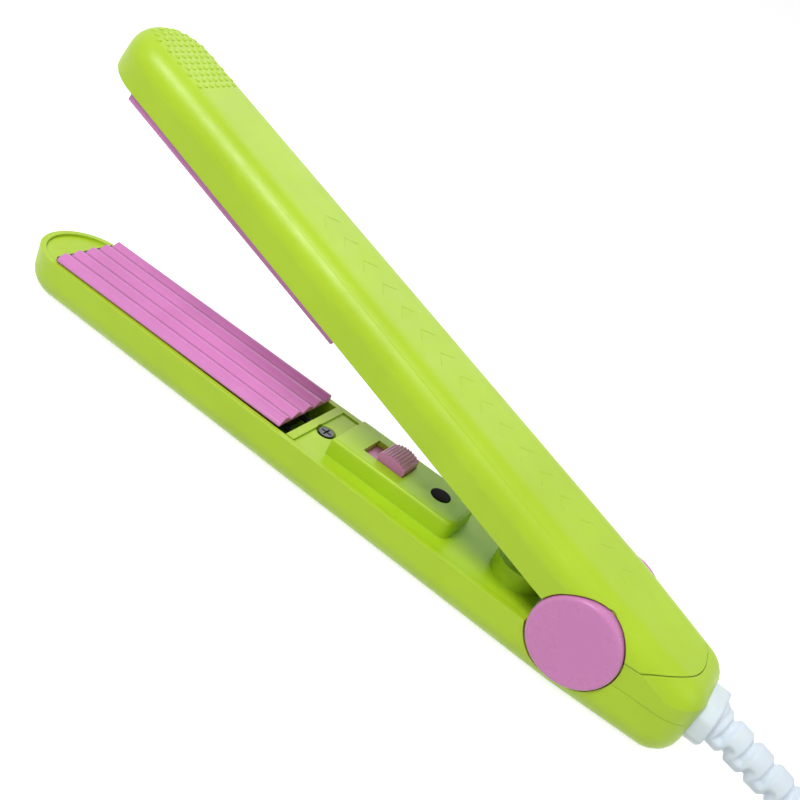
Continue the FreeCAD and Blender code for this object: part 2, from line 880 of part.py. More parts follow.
def lower_inner_cover():
    gap = WALL + "cover_gap"
    deck = prism("lower_deck", [
        (COVER_TIP, -(half_width(COVER_TIP, gap))),
        (DECK_END, -(half_width(DECK_END, gap))),
        (DECK_END, half_width(DECK_END, gap)),
        (COVER_TIP, half_width(COVER_TIP, gap)),
    ], "XY_Plane", DECK_BOTTOM, "deck_thick")
    lip_half = half_width(COVER_TIP, gap)
    lip = block("lower_lip", (COVER_TIP, COVER_TIP + "lip_length"), (-lip_half, lip_half),
                (DECK_TOP, DECK_TOP + "lip_rise"))
    corner = size("platform_corner")
    platform_half = size("platform_half")
    platform_body = new_body("platform")
    platform_sketch = outline(sketch_on(platform_body, "platform_outline", "XY_Plane", DECK_BOTTOM), [
        (PLATFORM_TIP, -platform_half),
        (PLATFORM_REAR - corner, -platform_half, corner),
        (PLATFORM_REAR, -(platform_half - corner)),
        (PLATFORM_REAR, platform_half - corner, corner),
        (PLATFORM_REAR - corner, platform_half),
        (PLATFORM_TIP, platform_half),
    ])
    pad(platform_body, "platform_pad", platform_sketch, PLATFORM_TOP - DECK_BOTTOM)
    platform = rounded("platform_eased", platform_body, platform_edges)
    cup = rod("spring_cup", CUP_BORE + "cup_wall", (SPRING_X, 0, CUP_FLOOR - "seat_wall"),
              CUP_TOP - CUP_FLOOR + "seat_wall")
    saddle_end = TAIL_FRONT + WALL
    saddle = block("saddle", (DECK_END - "deck_thick", saddle_end), (-SADDLE_HALF, SADDLE_HALF),
                   (SADDLE_BOTTOM, SADDLE_BOTTOM + "deck_thick"))
    riser = block("saddle_riser", (DECK_END - "deck_thick", DECK_END),
                  (-SADDLE_HALF, SADDLE_HALF), (SADDLE_BOTTOM, DECK_TOP))
    wall_half = size("tail_half") - WALL - "cover_gap"
    tail_wall = block("tail_wall", (TAIL_FRONT, saddle_end), (-wall_half, wall_half),
                      (SADDLE_BOTTOM, RIM + 1))
    solid = join("cover_solid", deck, lip, platform, cup, saddle, riser, tail_wall, tail_cap())
    wall = size("platform_wall")
    inside = block("platform_room", (PLATFORM_TIP + wall + "platform_front", PLATFORM_REAR - wall - "platform_rear"),
                   (-(platform_half - wall), platform_half - wall), (DECK_BOTTOM - 1, ROOF))
    slot = block("knob_slot", (SLOT_TIP, SLOT_REAR), (-SLOT_HALF, SLOT_HALF),
                 (ROOF - 1, PLATFORM_TOP + 1))
    led_hole = rod("led_hole", size("led_radius") + "led_gap", (LED_X, 0, ROOF - 1), 4)
    bore = rod("spring_cup_bore", CUP_BORE, (SPRING_X, 0, CUP_FLOOR), "cup_depth")
    recess = rod("screw_recess", "screw_recess", (SCREW_X, 0, SCREW_SEAT),
                 PLATFORM_TOP - SCREW_SEAT + 1)
    hole = rod("screw_hole", size("screw_shank") + FIT, (SCREW_X, 0, DECK_BOTTOM - 3), 9)
    boss = rod("screw_boss", size("screw_recess") + "boss_wall",
               (SCREW_X, 0, DECK_BOTTOM), DECK_TOP - DECK_BOTTOM)
    whole = join("cover_whole", solid, boss)
    keep("lower_inner_cover", cut(
        "lower_cover_finished", whole, inside, slot, led_hole, bore, recess, hole,
        *cap_recess("cover", HINGE_Z, CAP_INNER), outlet("cover")))


def platform_edges(edge):
    """The easing round the platform's top."""
    ends = [vertex.Point for vertex in edge.Vertexes]
    eased = float(size("platform_edge"))
    if all(abs(end.z - float(PLATFORM_TOP)) < 1e-6 for end in ends):
        return [eased, eased]
    return None


# Heating plates and what holds and heats them

def ridge_slope():
    """Sine and cosine of the flanks' slope, for ridges and valleys of the same rounding."""
    pitch = PLATE_HALF * 2 / 4.5
    across_flank = half(pitch)
    ring = size("ridge_radius")
    drop = size("ridge_depth") - ring * 2
    reach = root(across_flank * across_flank + drop * drop)
    first = (ring * 2) / reach
    angle = math.asin(first.value) + math.atan2(drop.value, across_flank.value)
    text = f"(asin({first.formula}) + atan2({drop.formula}; {across_flank.formula}))"
    return Size(math.sin(angle), f"sin({text})"), Size(math.cos(angle), f"cos({text})")


def ridge_corners():
    """The wavy top of a plate from the far edge, a crest, to the near edge, a valley."""
    pitch = PLATE_HALF * 2 / 4.5
    ring = size("ridge_radius")
    sin_slope, cos_slope = ridge_slope()
    shift = ring * sin_slope
    ease = ring - ring * cos_slope
    corners = [(PLATE_HALF, CREST, ring), (PLATE_HALF - shift, CREST - ease)]
    for step in range(1, 9):
        middle = PLATE_HALF - pitch * step / 2
        if step % 2:
            corners.append((middle + shift, VALLEY + ease, -ring))
            corners.append((middle - shift, VALLEY + ease))
        else:
            corners.append((middle + shift, CREST - ease, ring))
            corners.append((middle - shift, CREST - ease))
    corners.append((-PLATE_HALF + shift, VALLEY + ease, -ring))
    corners.append((-PLATE_HALF, VALLEY))
    return corners


def heating_plate(arm, place):
    corners = ridge_corners() + [
        (-PLATE_HALF, PLATE_BASE),
        (-FOOT_HALF + FIT, PLATE_BASE),
        (-FOOT_HALF + FIT, FOOT_BOTTOM),
        (FOOT_HALF - FIT, FOOT_BOTTOM),
        (FOOT_HALF - FIT, PLATE_BASE),
        (PLATE_HALF, PLATE_BASE),
    ]
    keep(f"{arm}_heating_plate",
         prism(f"{arm}_plate", corners, "YZ_Plane", PLATE_TIP, "plate_length"), place)


def plate_holder(arm, place):
    tray = block(f"{arm}_tray", (HOLDER_TIP, HOLDER_REAR), (-HOLDER_HALF, HOLDER_HALF),
                 (HOLDER_BOTTOM, HOLDER_TOP))
    lug = block(f"{arm}_lug", (HOLDER_TIP, PLATE_TIP - FIT), (-HOLDER_HALF, HOLDER_HALF),
                (HOLDER_TOP - 1, RIM + "lug_rise"))
    foot_room = block(f"{arm}_foot_room", (PLATE_TIP - half(FIT), HOLDER_REAR + 1),
                      (-FOOT_HALF, FOOT_HALF), (FOOT_BOTTOM - FIT, HOLDER_TOP + 1))
    heater_room = block(
        f"{arm}_heater_room",
        (PLATE_TIP + "heater_inset" - 1, HOLDER_REAR - "heater_inset" + 1),
        (-(size("heater_half") + FIT), size("heater_half") + FIT),
        (CLIP_BOTTOM, FOOT_BOTTOM + 1))
    wire_ways = [rod(f"{arm}_wire_way_{side}", "wire_hole", (HEATER_REAR - 2, y, HEATER_MIDDLE),
                     HOLDER_REAR - HEATER_REAR + 4, X_AXIS)
                 for side, y in (("near", -size("wire_spread")), ("far", size("wire_spread")))]
    tray_lugs = join(f"{arm}_tray_lugs", tray, lug)
    keep(f"{arm}_plate_holder",
         cut(f"{arm}_holder", tray_lugs, foot_room, heater_room, *wire_ways), place)
    heater_half = size("heater_half")
    heater = prism(f"{arm}_element", [
        (PLATE_TIP + "heater_inset", -heater_half),
        (HEATER_REAR, -heater_half),
        (HEATER_REAR, heater_half),
        (PLATE_TIP + "heater_inset", heater_half),
    ], "XY_Plane", HEATER_BOTTOM, "heater_thick")
    keep(f"{arm}_heater", heater, place)
    tip = PLATE_TIP + "heater_inset" + 1
    rear = HEATER_REAR - 1
    foot = size("clip_foot")
    low = CLIP_BOTTOM + "seat_gap"
    thick = size("clip_thick")
    top = HEATER_BOTTOM - 0.05
    corners = [
        (tip, low), (tip + foot, low), (tip + foot * 2, top - thick),
        (rear - foot * 2, top - thick), (rear - foot, low), (rear, low),
        (rear, low + thick), (rear - foot, low + thick), (rear - foot * 2, top),
        (tip + foot * 2, top), (tip + foot, low + thick), (tip, low + thick),
    ]
    clip = prism(f"{arm}_clip", corners, "XZ_Plane", -size("clip_half"), size("clip_half") * 2)
    keep(f"{arm}_heater_clip", clip, place)


def cover_screw(arm, seat, place):
    head = rod(f"{arm}_screw_head", "screw_head", (SCREW_X, 0, seat + "seat_gap"), "screw_head_height")
    shank = rod(f"{arm}_screw_shank", "screw_shank",
                (SCREW_X, 0, seat - "screw_length"), size("screw_length") + 0.5)
    slot = block(f"{arm}_screw_slot_long",
                 (SCREW_X - "screw_head" + 0.4, SCREW_X + "screw_head" - 0.4),
                 (-size(0.2), 0.2), (seat + "screw_head_height" - 0.5, seat + "screw_head_height" + 1))
    cross = block(f"{arm}_screw_slot_cross", (SCREW_X - 0.2, SCREW_X + 0.2),
                  (-(size("screw_head") - 0.4), size("screw_head") - 0.4),
                  (seat + "screw_head_height" - 0.5, seat + "screw_head_height" + 1))
    screw = join(f"{arm}_screw_blank", head, shank)
    keep(f"{arm}_cover_screw", cut(f"{arm}_screw", screw, slot, cross), place)


# Upper arm, drawn back down in its own frame

def upper_housing():
    form = arm_blank("upper", UPPER_FORM_X, RIM)
    beyond = cut("beyond_tongue",
                 block("upper_beyond", (TONGUE_X, UPPER_FORM_X + 1), (-BEYOND, BEYOND), (-1, RIM + 1)),
                 rod("tongue_round", "tongue_radius", (TONGUE_X, 0, -2), RIM + 4))
    slope = (size("seam_start_depth") - "seam_end_depth") / (UPPER_TAIL_X - SEAM_X)
    end = UPPER_TAIL_X + 1
    seam = prism("upper_seam_cut", [
        (SEAM_X, size("seam_start_depth")),
        (end, size("seam_end_depth") - slope),
        (end, RIM + 1),
        (SEAM_X, RIM + 1),
    ], "XZ_Plane", -BEYOND, BEYOND * 2)
    room = arm_cavity("upper", SEAM_X - WALL, CAP_INNER + "cap_room")
    shell = cut("upper_shell", form, room, nose_shelf("upper"), seam, beyond)
    webs = []
    for side, span in {"near": (-BARREL_HALF, -(BARREL_HALF - "web_thick")),
                       "far": (BARREL_HALF - "web_thick", BARREL_HALF)}.items():
        webs.append(block(f"hinge_web_{side}", (HINGE_X - "web_half", HINGE_X + "web_half"),
                          span, (half(WALL), UPPER_HINGE_Z)))
    barrel = across("hinge_barrel", "barrel_radius", HINGE_X, UPPER_HINGE_Z,
                    (-BARREL_HALF, BARREL_HALF))
    post, bore = screw_post("upper", UPPER_DECK_TOP - "deck_thick" - FIT)
    solid = join("upper_solid", shell, *webs, barrel, post, *holder_rests("upper"))
    pin_hole = across("upper_pin_hole", size("pin_radius") + "pin_gap", HINGE_X, UPPER_HINGE_Z,
                      (-CAP_OUTER, CAP_OUTER))
    keep("upper_housing", cut("upper_finished", solid, bore, pin_hole,
                              *cap_recess("upper", UPPER_HINGE_Z, EAR_OUTER)), UPPER_PLACE)


def upper_inner_cover():
    gap = WALL + "cover_gap"
    deck_bottom = UPPER_DECK_TOP - "deck_thick"
    deck = prism("upper_deck", [
        (COVER_TIP, -(half_width(COVER_TIP, gap))),
        (DECK_END, -(half_width(DECK_END, gap))),
        (DECK_END, half_width(DECK_END, gap)),
        (COVER_TIP, half_width(COVER_TIP, gap)),
    ], "XY_Plane", deck_bottom, "deck_thick")
    lip_half = half_width(COVER_TIP, gap)
    lip = block("upper_lip", (COVER_TIP, COVER_TIP + "lip_length"), (-lip_half, lip_half),
                (deck_bottom, RIM - 0.1))
    wall = size("seat_wall")
    travel_tip = KNOB_X - half("knob_length") - "knob_travel" - "well_end_play"
    travel_rear = KNOB_X + half("knob_length") + "well_end_play"
    knob_half = size("knob_half") + "well_side_play"
    knob_floor = MIDDLE * 2 - PLATFORM_TOP - "knob_rise" - "well_play"
    well = block("knob_well", (travel_tip - wall, travel_rear + wall),
                 (-(knob_half + wall), knob_half + wall), (knob_floor - wall, UPPER_DECK_TOP))
    well_room = block("knob_well_room", (travel_tip, travel_rear), (-knob_half, knob_half),
                      (knob_floor, RIM + 1))
    seat = rod("spring_seat", SEAT_BORE + wall, (SPRING_X, 0, SEAT_FLOOR - wall),
               UPPER_DECK_TOP - SEAT_FLOOR + wall)
    seat_room = rod("spring_seat_room", SEAT_BORE, (SPRING_X, 0, SEAT_FLOOR), RIM)
    boss = rod("upper_screw_boss", size("screw_recess") + "boss_wall",
               (SCREW_X, 0, deck_bottom), "deck_thick")
    solid = join("upper_cover_solid", deck, lip, well, seat, boss)
    recess = rod("upper_screw_recess", "screw_recess", (SCREW_X, 0, UPPER_DECK_TOP - "recess_floor"), 3)
    hole = rod("upper_screw_hole", size("screw_shank") + FIT, (SCREW_X, 0, deck_bottom - 1), 4)
    keep("upper_inner_cover",
         cut("upper_cover_finished", solid, well_room, seat_room, recess, hole,
             *cap_recess("upper_cover", UPPER_HINGE_Z, EAR_OUTER)), UPPER_PLACE)


# Switch and circuit board

def switch_parts():
    base = PLATFORM_TOP - 1
    top = PLATFORM_TOP + "knob_rise"
    span = half("knob_length")
    crown = size("knob_crown")
    shoulder = crown - root(crown * crown - span * span)
    knob = prism("knob_block", [
        (KNOB_X - span, ROOF - FIT - "skirt_thick"),
        (KNOB_X + span, ROOF - FIT - "skirt_thick"),
        (KNOB_X + span, top - shoulder, crown),
        (KNOB_X - span, top - shoulder),
    ], "XZ_Plane", -size("knob_half"), size("knob_half") * 2)
    grooves = []
    count = int(float(size("knob_ribs")))
    for number in range(count):
        offset = size("rib_pitch") * (number - (count - 1) / 2)
        height = top - crown + root(crown * crown - offset * offset)
        grooves.append(across(f"knob_groove_{number + 1}", "rib_radius", KNOB_X + offset, height,
                              (-size("knob_half") - 1, size("knob_half") + 1)))
    skirt_top = ROOF - FIT
    lap = size("knob_travel") + "skirt_lap"
    skirt = block("knob_skirt", (KNOB_X - span - lap, KNOB_X + span + lap),
                  (-size("skirt_half"), size("skirt_half")),
                  (skirt_top - "skirt_thick", skirt_top))
    lever_gap = size(0.1)
    socket_half = half("lever_length") + lever_gap
    socket = block("knob_socket", (KNOB_X - socket_half, KNOB_X + socket_half),
                   (-(size("lever_half") + lever_gap), size("lever_half") + lever_gap),
                   (skirt_top - "skirt_thick" - 1, base))
    knob_solid = join("knob_solid", knob, skirt)
    keep("switch_knob", cut("knob_finished", knob_solid, socket, *grooves))

    middle = KNOB_X - half("knob_travel")
    switch_top = BOARD_TOP + "switch_height"
    case = block("switch_case", (middle - half("switch_length"), middle + half("switch_length")),
                 (-size("switch_half"), size("switch_half")), (BOARD_TOP + "seat_gap", switch_top))
    track_half = half("knob_travel") + socket_half
    track = block("switch_track", (middle - track_half, middle + track_half),
                  (-(size("lever_half") + lever_gap), size("lever_half") + lever_gap),
                  (switch_top - "lever_sink" - lever_gap, switch_top + 1))
    keep("slide_switch", cut("switch_finished", case, track))
    keep("switch_lever", block(
        "lever", (KNOB_X - half("lever_length"), KNOB_X + half("lever_length")),
        (-size("lever_half"), size("lever_half")),
        (switch_top - "lever_sink", base - lever_gap)))


def board_parts():
    board_half = size("board_half")
    tip = station("board_station")
    rear = tip + "board_length"
    board = new_body("board")
    board_sketch = outline(sketch_on(board, "board_outline", "XY_Plane", BOARD_BOTTOM), [
        (tip, -board_half),
        (rear, -board_half),
        (rear, board_half),
        (tip, board_half),
    ])
    pad(board, "board_pad", board_sketch, "board_thick")
    hole_sketch = circle(sketch_on(board, "board_hole_outline", "XY_Plane", BOARD_TOP),
                         tip + "board_post_inset", 0, size("board_peg") + FIT)
    hole = pocket(board, "board_hole", hole_sketch, "board_thick")
    repeat(board, "board_holes", hole, hole_sketch,
           size("board_length") - size("board_post_inset") * 2, 2)
    keep("circuit_board", board)
    led_top = PLATFORM_TOP - "led_sink"
    radius = size("led_radius")
    base = BOARD_TOP + "seat_gap"
    flange = rod("led_base", "led_flange", (LED_X, 0, base), "led_flange_rise")
    barrel = rod("led_barrel", radius, (LED_X, 0, base), led_top - radius - base)
    dome = doc.addObject("Part::Sphere", "led_dome")
    bind(dome, "Radius", radius)
    for letter, item in zip("xyz", (LED_X, 0, led_top - radius)):
        bind(dome, f"Placement.Base.{letter}", item)
    keep("power_led", join("led_finished", flange, barrel, dome))
    resistor_x = station("resistor_station")
    keep("led_resistor", across(
        "resistor", "resistor_radius", resistor_x, base + "resistor_radius",
        (-half("resistor_length"), half("resistor_length"))))


# Hinge

def hinge_parts():
    keep("hinge_pin", across("pin", "pin_radius", HINGE_X, HINGE_Z, (-EAR_OUTER, EAR_OUTER)))
    for side, sign in (("near", -1), ("far", 1)):
        inner, outer = CAP_INNER * sign, CAP_OUTER * sign
        span = (inner, outer) if sign > 0 else (outer, inner)
        disc = across(f"cap_disc_{side}", "cap_radius", HINGE_X, HINGE_Z, span)

        def radii(edge, rim=float(outer)):
            ends = [vertex.Point for vertex in edge.Vertexes]
            if abs(ends[0].y - rim) > 1e-6:
                return None
            return [float(size("cap_edge"))] * 2
        eased = rounded(f"cap_eased_{side}", disc, radii)
        pegs = []
        for number, place in enumerate((-1, 1), start=1):
            reach = EAR_OUTER * sign
            tip = reach - size("peg_length") * sign
            peg_span = (tip, inner + 0.5) if sign > 0 else (inner - 0.5, tip)
            pegs.append(across(f"cap_peg_{side}_{number}", "peg_radius",
                               HINGE_X + size("peg_offset") * place, HINGE_Z, peg_span))
        keep(f"hinge_cap_{side}", join(f"cap_finished_{side}", eased, *pegs))


# Wires, springs and cords: a round section pushed along a path

def arc_edge(start, middle, end):
    return Part.Arc(start, middle, end).toShape()


def route_wire(points, label=None):
    """Straight runs joined by tangent arcs, each as large as its two runs allow."""
    spots = [V(*(float(number) for number in point)) for point in points]
    edges = []
    here = spots[0]
    for before, corner, after in zip(spots, spots[1:], spots[2:]):
        back = (before - corner)
        ahead = (after - corner)
        shorter = min(back.Length, ahead.Length)
        back.normalize()
        ahead.normalize()
        turn = math.pi - back.getAngle(ahead)
        tangent = 0.45 * shorter
        radius = tangent / math.tan(turn / 2)
        if label:
            print(f"{label}: turn {math.degrees(turn):.1f} deg, radius {radius:.1f} mm")
        start = corner + back * tangent
        end = corner + ahead * tangent
        inward = (back + ahead).normalize()
        middle = corner + inward * (radius / math.cos(turn / 2) - radius)
        edges.append(Part.LineSegment(here, start).toShape())
        edges.append(arc_edge(start, middle, end))
        here = end
    edges.append(Part.LineSegment(here, spots[-1]).toShape())
    return Part.Wire(edges)


def tube_along(wire, radius, label=None):
    """A round tube along a smooth path, checked against its section times its length."""
    radius = float(size(radius))
    first = wire.OrderedEdges[0]
    start = first.valueAt(first.FirstParameter)
    heading = first.tangentAt(first.FirstParameter)
    if first.Orientation == "Reversed":
        start = first.valueAt(first.LastParameter)
        heading = first.tangentAt(first.LastParameter) * -1
    section = Part.Wire([Part.Circle(start, heading, radius).toShape()])
    tube = Part.Wire(wire.OrderedEdges).makePipeShell([section], True, False)
    share = tube.Volume / (math.pi * radius ** 2 * wire.Length)
    if abs(share - 1) > 0.01:
        raise RuntimeError(f"tube {label} has {share:.3f} of its volume")
    if label:
        print(f"{label}: length {wire.Length:.1f} mm")
    return tube


def shape_feature(name, shape):
    feature = doc.addObject("Part::Feature", name)
    feature.Shape = shape
    return feature


def biarc(start, heading, end, leaving):
    """Two arcs that join two places with their headings."""
    across_gap = end - start
    both = heading + leaving
    bend = 2 * (1 - heading.dot(leaving))
    lean = across_gap.dot(both)
    squared = across_gap.dot(across_gap)
    if bend < 1e-9:
        reach = squared / (2 * lean)
    else:
        reach = (-lean + math.sqrt(lean * lean + bend * squared)) / bend
    near = start + heading * reach
    far = end - leaving * reach
    joint = (near + far) * 0.5
    edges = []
    for first, control, last in ((start, near, joint), (joint, far, end)):
        chord = (first + last) * 0.5
        offset = control - chord
        half_chord = (last - first).Length / 2
        slope = math.atan2(offset.Length, half_chord)
        rise = half_chord * math.tan(slope / 2)
        edges.append(arc_edge(first, chord + offset * (rise / offset.Length), last))
    return edges


def wound_path(place, count, lead):
    """Biarcs through count steps of a winding, with a straight lead at each end.

    place gives the point at a step from 0 to count.
    """
    def heading(step):
        small = 1e-4
        low = max(step - small, 0.0)
        high = min(step + small, count)
        return (place(high) - place(low)).normalize()
    first, last = place(0), place(count)
    edges = [Part.LineSegment(first - heading(0) * lead, first).toShape()]
    for step in range(count):
        edges += biarc(place(step), heading(step), place(step + 1), heading(step + 1))
    edges.append(Part.LineSegment(last, last + heading(count) * lead).toShape())
    return Part.Wire(edges)


def smooth_path(stops):
    """A path through places with their headings: straight where it can be, and two arcs elsewhere."""
    edges = []
    for (start, heading), (end, leaving) in zip(stops, stops[1:]):
        ahead = end - start
        if ahead.cross(heading).Length < 1e-6 and heading.cross(leaving).Length < 1e-6:
            edges.append(Part.LineSegment(start, end).toShape())
        else:
            edges += biarc(start, heading, end, leaving)
    return Part.Wire(edges)


def report_winding(name, wire, apart, diameter):
    """Print how near a winding comes to itself, and its tightest bend."""
    count = int(wire.Length / (diameter / 6))
    spots = wire.discretize(Number=count)
    skip = math.ceil(apart / (wire.Length / (count - 1)))
    least = min((spots[other] - spots[index]).Length
                for index in range(count) for other in range(index + skip, count))
    tightest = min(edge.Curve.Radius for edge in wire.Edges if hasattr(edge.Curve, "Radius"))
    print(f"{name}: least gap to itself {least - diameter:.2f} mm, tightest bend {tightest:.1f} mm")


# Opening spring, standing between the two seats and bent a little by the swing

def opening_spring():
    low = V(float(SPRING_X), 0, float(CUP_FLOOR))
    seat_x, seat_z = swung(SPRING_X, SEAT_FLOOR)
    seat = V(float(seat_x), 0, float(seat_z))
    bend = math.radians(float(OPEN))
    wire_radius = float(size("spring_wire")) / 2
    margin = wire_radius + float(size("spring_gap"))
    chord = (seat - low).Length
    arc_radius = chord / 2 / math.sin(bend / 2)
    length = arc_radius * bend
    ring = float(size("spring_radius"))
    quarter_turns = int(float(size("spring_turns"))) * 4

    def place(step):
        travel = margin + (length - 2 * margin) * step / quarter_turns
        tilt = travel / arc_radius
        axis_spot = low + V(arc_radius * (1 - math.cos(tilt)), 0, arc_radius * math.sin(tilt))
        outward = V(math.cos(tilt), 0, -math.sin(tilt))
        angle = math.pi / 2 * step
        return axis_spot + outward * (ring * math.cos(angle)) + V(0, ring * math.sin(angle), 0)

    path = wound_path(place, quarter_turns, float(size("spring_wire")))
    report_winding("opening spring", path, math.pi * ring, 2 * wire_radius)
    keep("opening_spring",
         shape_feature("spring", tube_along(path, wire_radius, "opening spring")))


# Cord outlet: relief block, slotted sleeve, clamp and the cord inside them

SLEEVE_ROOT = V(float(HINGE_X + "cord_bend"), 0, float(CORD_Z))
SLEEVE_END = V(float(HINGE_X + "cord_bend" + "sleeve_length"), 0, float(size("sleeve_end_height")))
SLEEVE_WAY = (SLEEVE_END - SLEEVE_ROOT).normalize()
SLEEVE_WIDE = size("cord_radius") + "sleeve_root_wall"


def tilted_block(name, frame, x_span, y_span, z_span):
    """A box in a tilted frame of its own."""
    box = doc.addObject("Part::Box", name)
    for side, (low, high) in (("Length", x_span), ("Width", y_span), ("Height", z_span)):
        bind(box, side, size(high) - low)
    corner = V(*(float(size(span[0])) for span in (x_span, y_span, z_span)))
    box.Placement = frame.multiply(FreeCAD.Placement(corner, FreeCAD.Rotation()))
    return box


def cord_start():
    return V(float(HINGE_X + "cord_start"), 0, float(CORD_Z))


def strain_relief():
    outer_end = TAIL_X + "block_out"
    block_part = prism("relief_block", outlet_corners(size(0)), "YZ_Plane",
                       FLANGE_REAR, outer_end - FLANGE_REAR)
    wide_flange = prism("relief_flange_blank", outlet_corners(size("flange_grow")), "YZ_Plane",
                        FLANGE_FRONT, "flange_thick")
    headroom = block("relief_headroom", (FLANGE_FRONT - 1, FLANGE_REAR + 1), (-size(20), 20),
                     (0, tail_roof() - FIT))
    flange = overlap("relief_flange", wide_flange, headroom)
    sleeve = doc.addObject("Part::Cone", "relief_sleeve")
    bind(sleeve, "Radius1", SLEEVE_WIDE)
    bind(sleeve, "Radius2", size("cord_radius") + "sleeve_end_wall")
    sleeve.Height = (SLEEVE_END - SLEEVE_ROOT).Length
    sleeve.Placement = FreeCAD.Placement(SLEEVE_ROOT, FreeCAD.Rotation(Z_AXIS, SLEEVE_WAY))
    solid = join("relief_solid", block_part, flange, sleeve)
    up = V(-SLEEVE_WAY.z, 0, SLEEVE_WAY.x)
    frame = FreeCAD.Placement(SLEEVE_ROOT, FreeCAD.Rotation(SLEEVE_WAY, Y_AXIS, up, "XZY"))
    reach = SLEEVE_WIDE * 2
    slots = []
    for number in range(int(float(size("sleeve_slots")))):
        along = size("slot_first") + size("slot_pitch") * number
        span = (along - half("slot_width"), along + half("slot_width"))
        height = (-size("slot_reach"), reach) if number % 2 == 0 else (-reach, size("slot_reach"))
        slots.append(tilted_block(f"relief_slot_{number + 1}", frame, span, (-reach, reach), height))
    beyond = SLEEVE_END + SLEEVE_WAY * 2
    bore = shape_feature("relief_bore", tube_along(
        route_wire([cord_start(), SLEEVE_ROOT, beyond]),
        size("cord_radius") + "bore_gap", "relief bore"))
    keep("strain_relief", cut("relief_finished", solid, *slots, bore))


def inner_cord():
    path = route_wire([cord_start(), SLEEVE_ROOT, SLEEVE_END], "inner cord")
    keep("inner_cord", shape_feature("cord_inside", tube_along(path, "cord_radius", "inner cord")))


def cord_clamp():
    x = HINGE_X + "clamp_station"
    base = CORD_Z + "clamp_lift"
    top = CORD_Z + "cord_radius" + FIT + "clamp_over"
    seat = top + "seat_gap"
    bar = block("clamp_bar", (x - half("clamp_length"), x + half("clamp_length")),
                (-size("clamp_half"), size("clamp_half")), (base, top))
    groove = rod("clamp_groove", size("cord_radius") + FIT, (x - "clamp_length", 0, CORD_Z),
                 size("clamp_length") * 2, X_AXIS)
    holes = []
    screws = []
    for side, y in (("near", -size("clamp_post_y")), ("far", size("clamp_post_y"))):
        holes.append(rod(f"clamp_hole_{side}", size("screw_shank") + "thread_gap", (x, y, base - 1), 6))
        head = rod(f"clamp_head_{side}", "clamp_screw_head", (x, y, seat), "clamp_head_height")
        shank = rod(f"clamp_shank_{side}", "screw_shank", (x, y, seat - "clamp_screw_length"),
                    size("clamp_screw_length") + half("clamp_head_height"))
        screws.append(join(f"clamp_screw_{side}", head, shank))
    keep("cord_clamp", cut("clamp_finished", bar, groove, *holes))
    keep("clamp_screws", group("clamp_screw_pair", *screws))


# Wires inside the arms, each route as X, Y and Z for the far wire of the pair

def wire_pair(name, route, place=None):
    wires = []
    for side, sign in (("near", -1), ("far", 1)):
        points = [(x, float(size(y)) * sign, z) for x, y, z in route]
        tube = tube_along(route_wire([V(*map(float, map(size, point))) for point in points]),
                          "wire_radius", f"{name} {side}")
        wires.append(shape_feature(f"{name}_{side}", tube))
    keep(name, group(f"{name}_pair", *wires), place)


def wires():
    spread = size("wire_spread")
    board_level = BOARD_BOTTOM + half("board_thick") - 0.05
    cord_end = HINGE_X + "cord_start" - "seat_gap"
    wire_pair("mains_leads", [
        (cord_end, 1.2, CORD_Z),
        (cord_end - 3.6, 1.2, CORD_Z),
        (HINGE_X + 9.6, 1.5, 5.0),
        (HINGE_X, 2.6, 4.0),
        (HINGE_X - 14, 3.3, 3.4),
        (HINGE_X - 25.5, 3.0, board_level),
        (station("board_station") + "board_length" + "seat_gap", 2.6, board_level),
    ])
    board_front = station("board_station") - 0.06
    wire_pair("lower_leads", [
        (board_front, 3.0, board_level),
        (board_front - 6.6, spread + 0.3, HEATER_MIDDLE - 0.6),
        (HOLDER_REAR + 0.8, spread, HEATER_MIDDLE),
        (HEATER_REAR + "seat_gap", spread, HEATER_MIDDLE),
    ])
    wire_pair("upper_leads", [
        (HEATER_REAR + "seat_gap", spread, HEATER_MIDDLE),
        (HOLDER_REAR + 0.8, spread, HEATER_MIDDLE),
        (HOLDER_REAR + 7, spread + 0.5, HEATER_MIDDLE - 2.6),
        (HOLDER_REAR + 18, spread + 0.2, 3.0),
        (HOLDER_REAR + 37, spread + 0.4, 2.8),
        (HINGE_X - 11, spread + 0.4, 3.7),
        (HINGE_X - 2.2, spread + 0.7, 6.6),
    ], UPPER_PLACE)


# Hank of cord that is put away, in line with the arms: long turns in two layers and a last one on top

CORD_WIDE = 2 * float(size("cord_radius"))
TURN_PITCH = CORD_WIDE + float(size("turn_gap"))
HANK_BASE = float(size("cord_radius") + "tie_thick" + "tie_gap")
HANK_RADIUS = float(half("plug_width") + "cord_radius" + "plug_play") + TURN_PITCH / 4
# Each run of the hank: half pitches inwards from the outermost run, and the layers at its two ends.
HANK_RUNS = (
    (0, 1, 1),
    (1, 1, 1),
    (2, 1, 1),
    (3, 1, 2),
    (2, 2, 2),
    (1, 2, 2),
    (0, 2, 3),
    (1, 3, 3),
)


def layer_height(layer):
    return HANK_BASE + TURN_PITCH * (layer - 1)


def hank_stops():
    """The ends of the hank's runs in order, each with the cord's heading there."""
    near = float(size("hank_x"))
    far = near + float(size("hank_run"))
    stops = []
    for number, (inwards, *layers) in enumerate(HANK_RUNS):
        way = 1 if number % 2 == 0 else -1
        y = float(size("hank_y")) + way * (HANK_RADIUS - TURN_PITCH / 2 * inwards)
        for x, layer in zip((near, far)[::way], layers):
            stops.append((V(x, y, layer_height(layer)), X_AXIS * way))
    first = stops[0][0] - X_AXIS * float(size("hank_lead"))
    top = stops[-1][0] + Y_AXIS * float(size("hank_fold") * 2)
    return [(first, X_AXIS), *stops, (top, X_AXIS),
            (top + X_AXIS * float(size("top_run")), X_AXIS)]


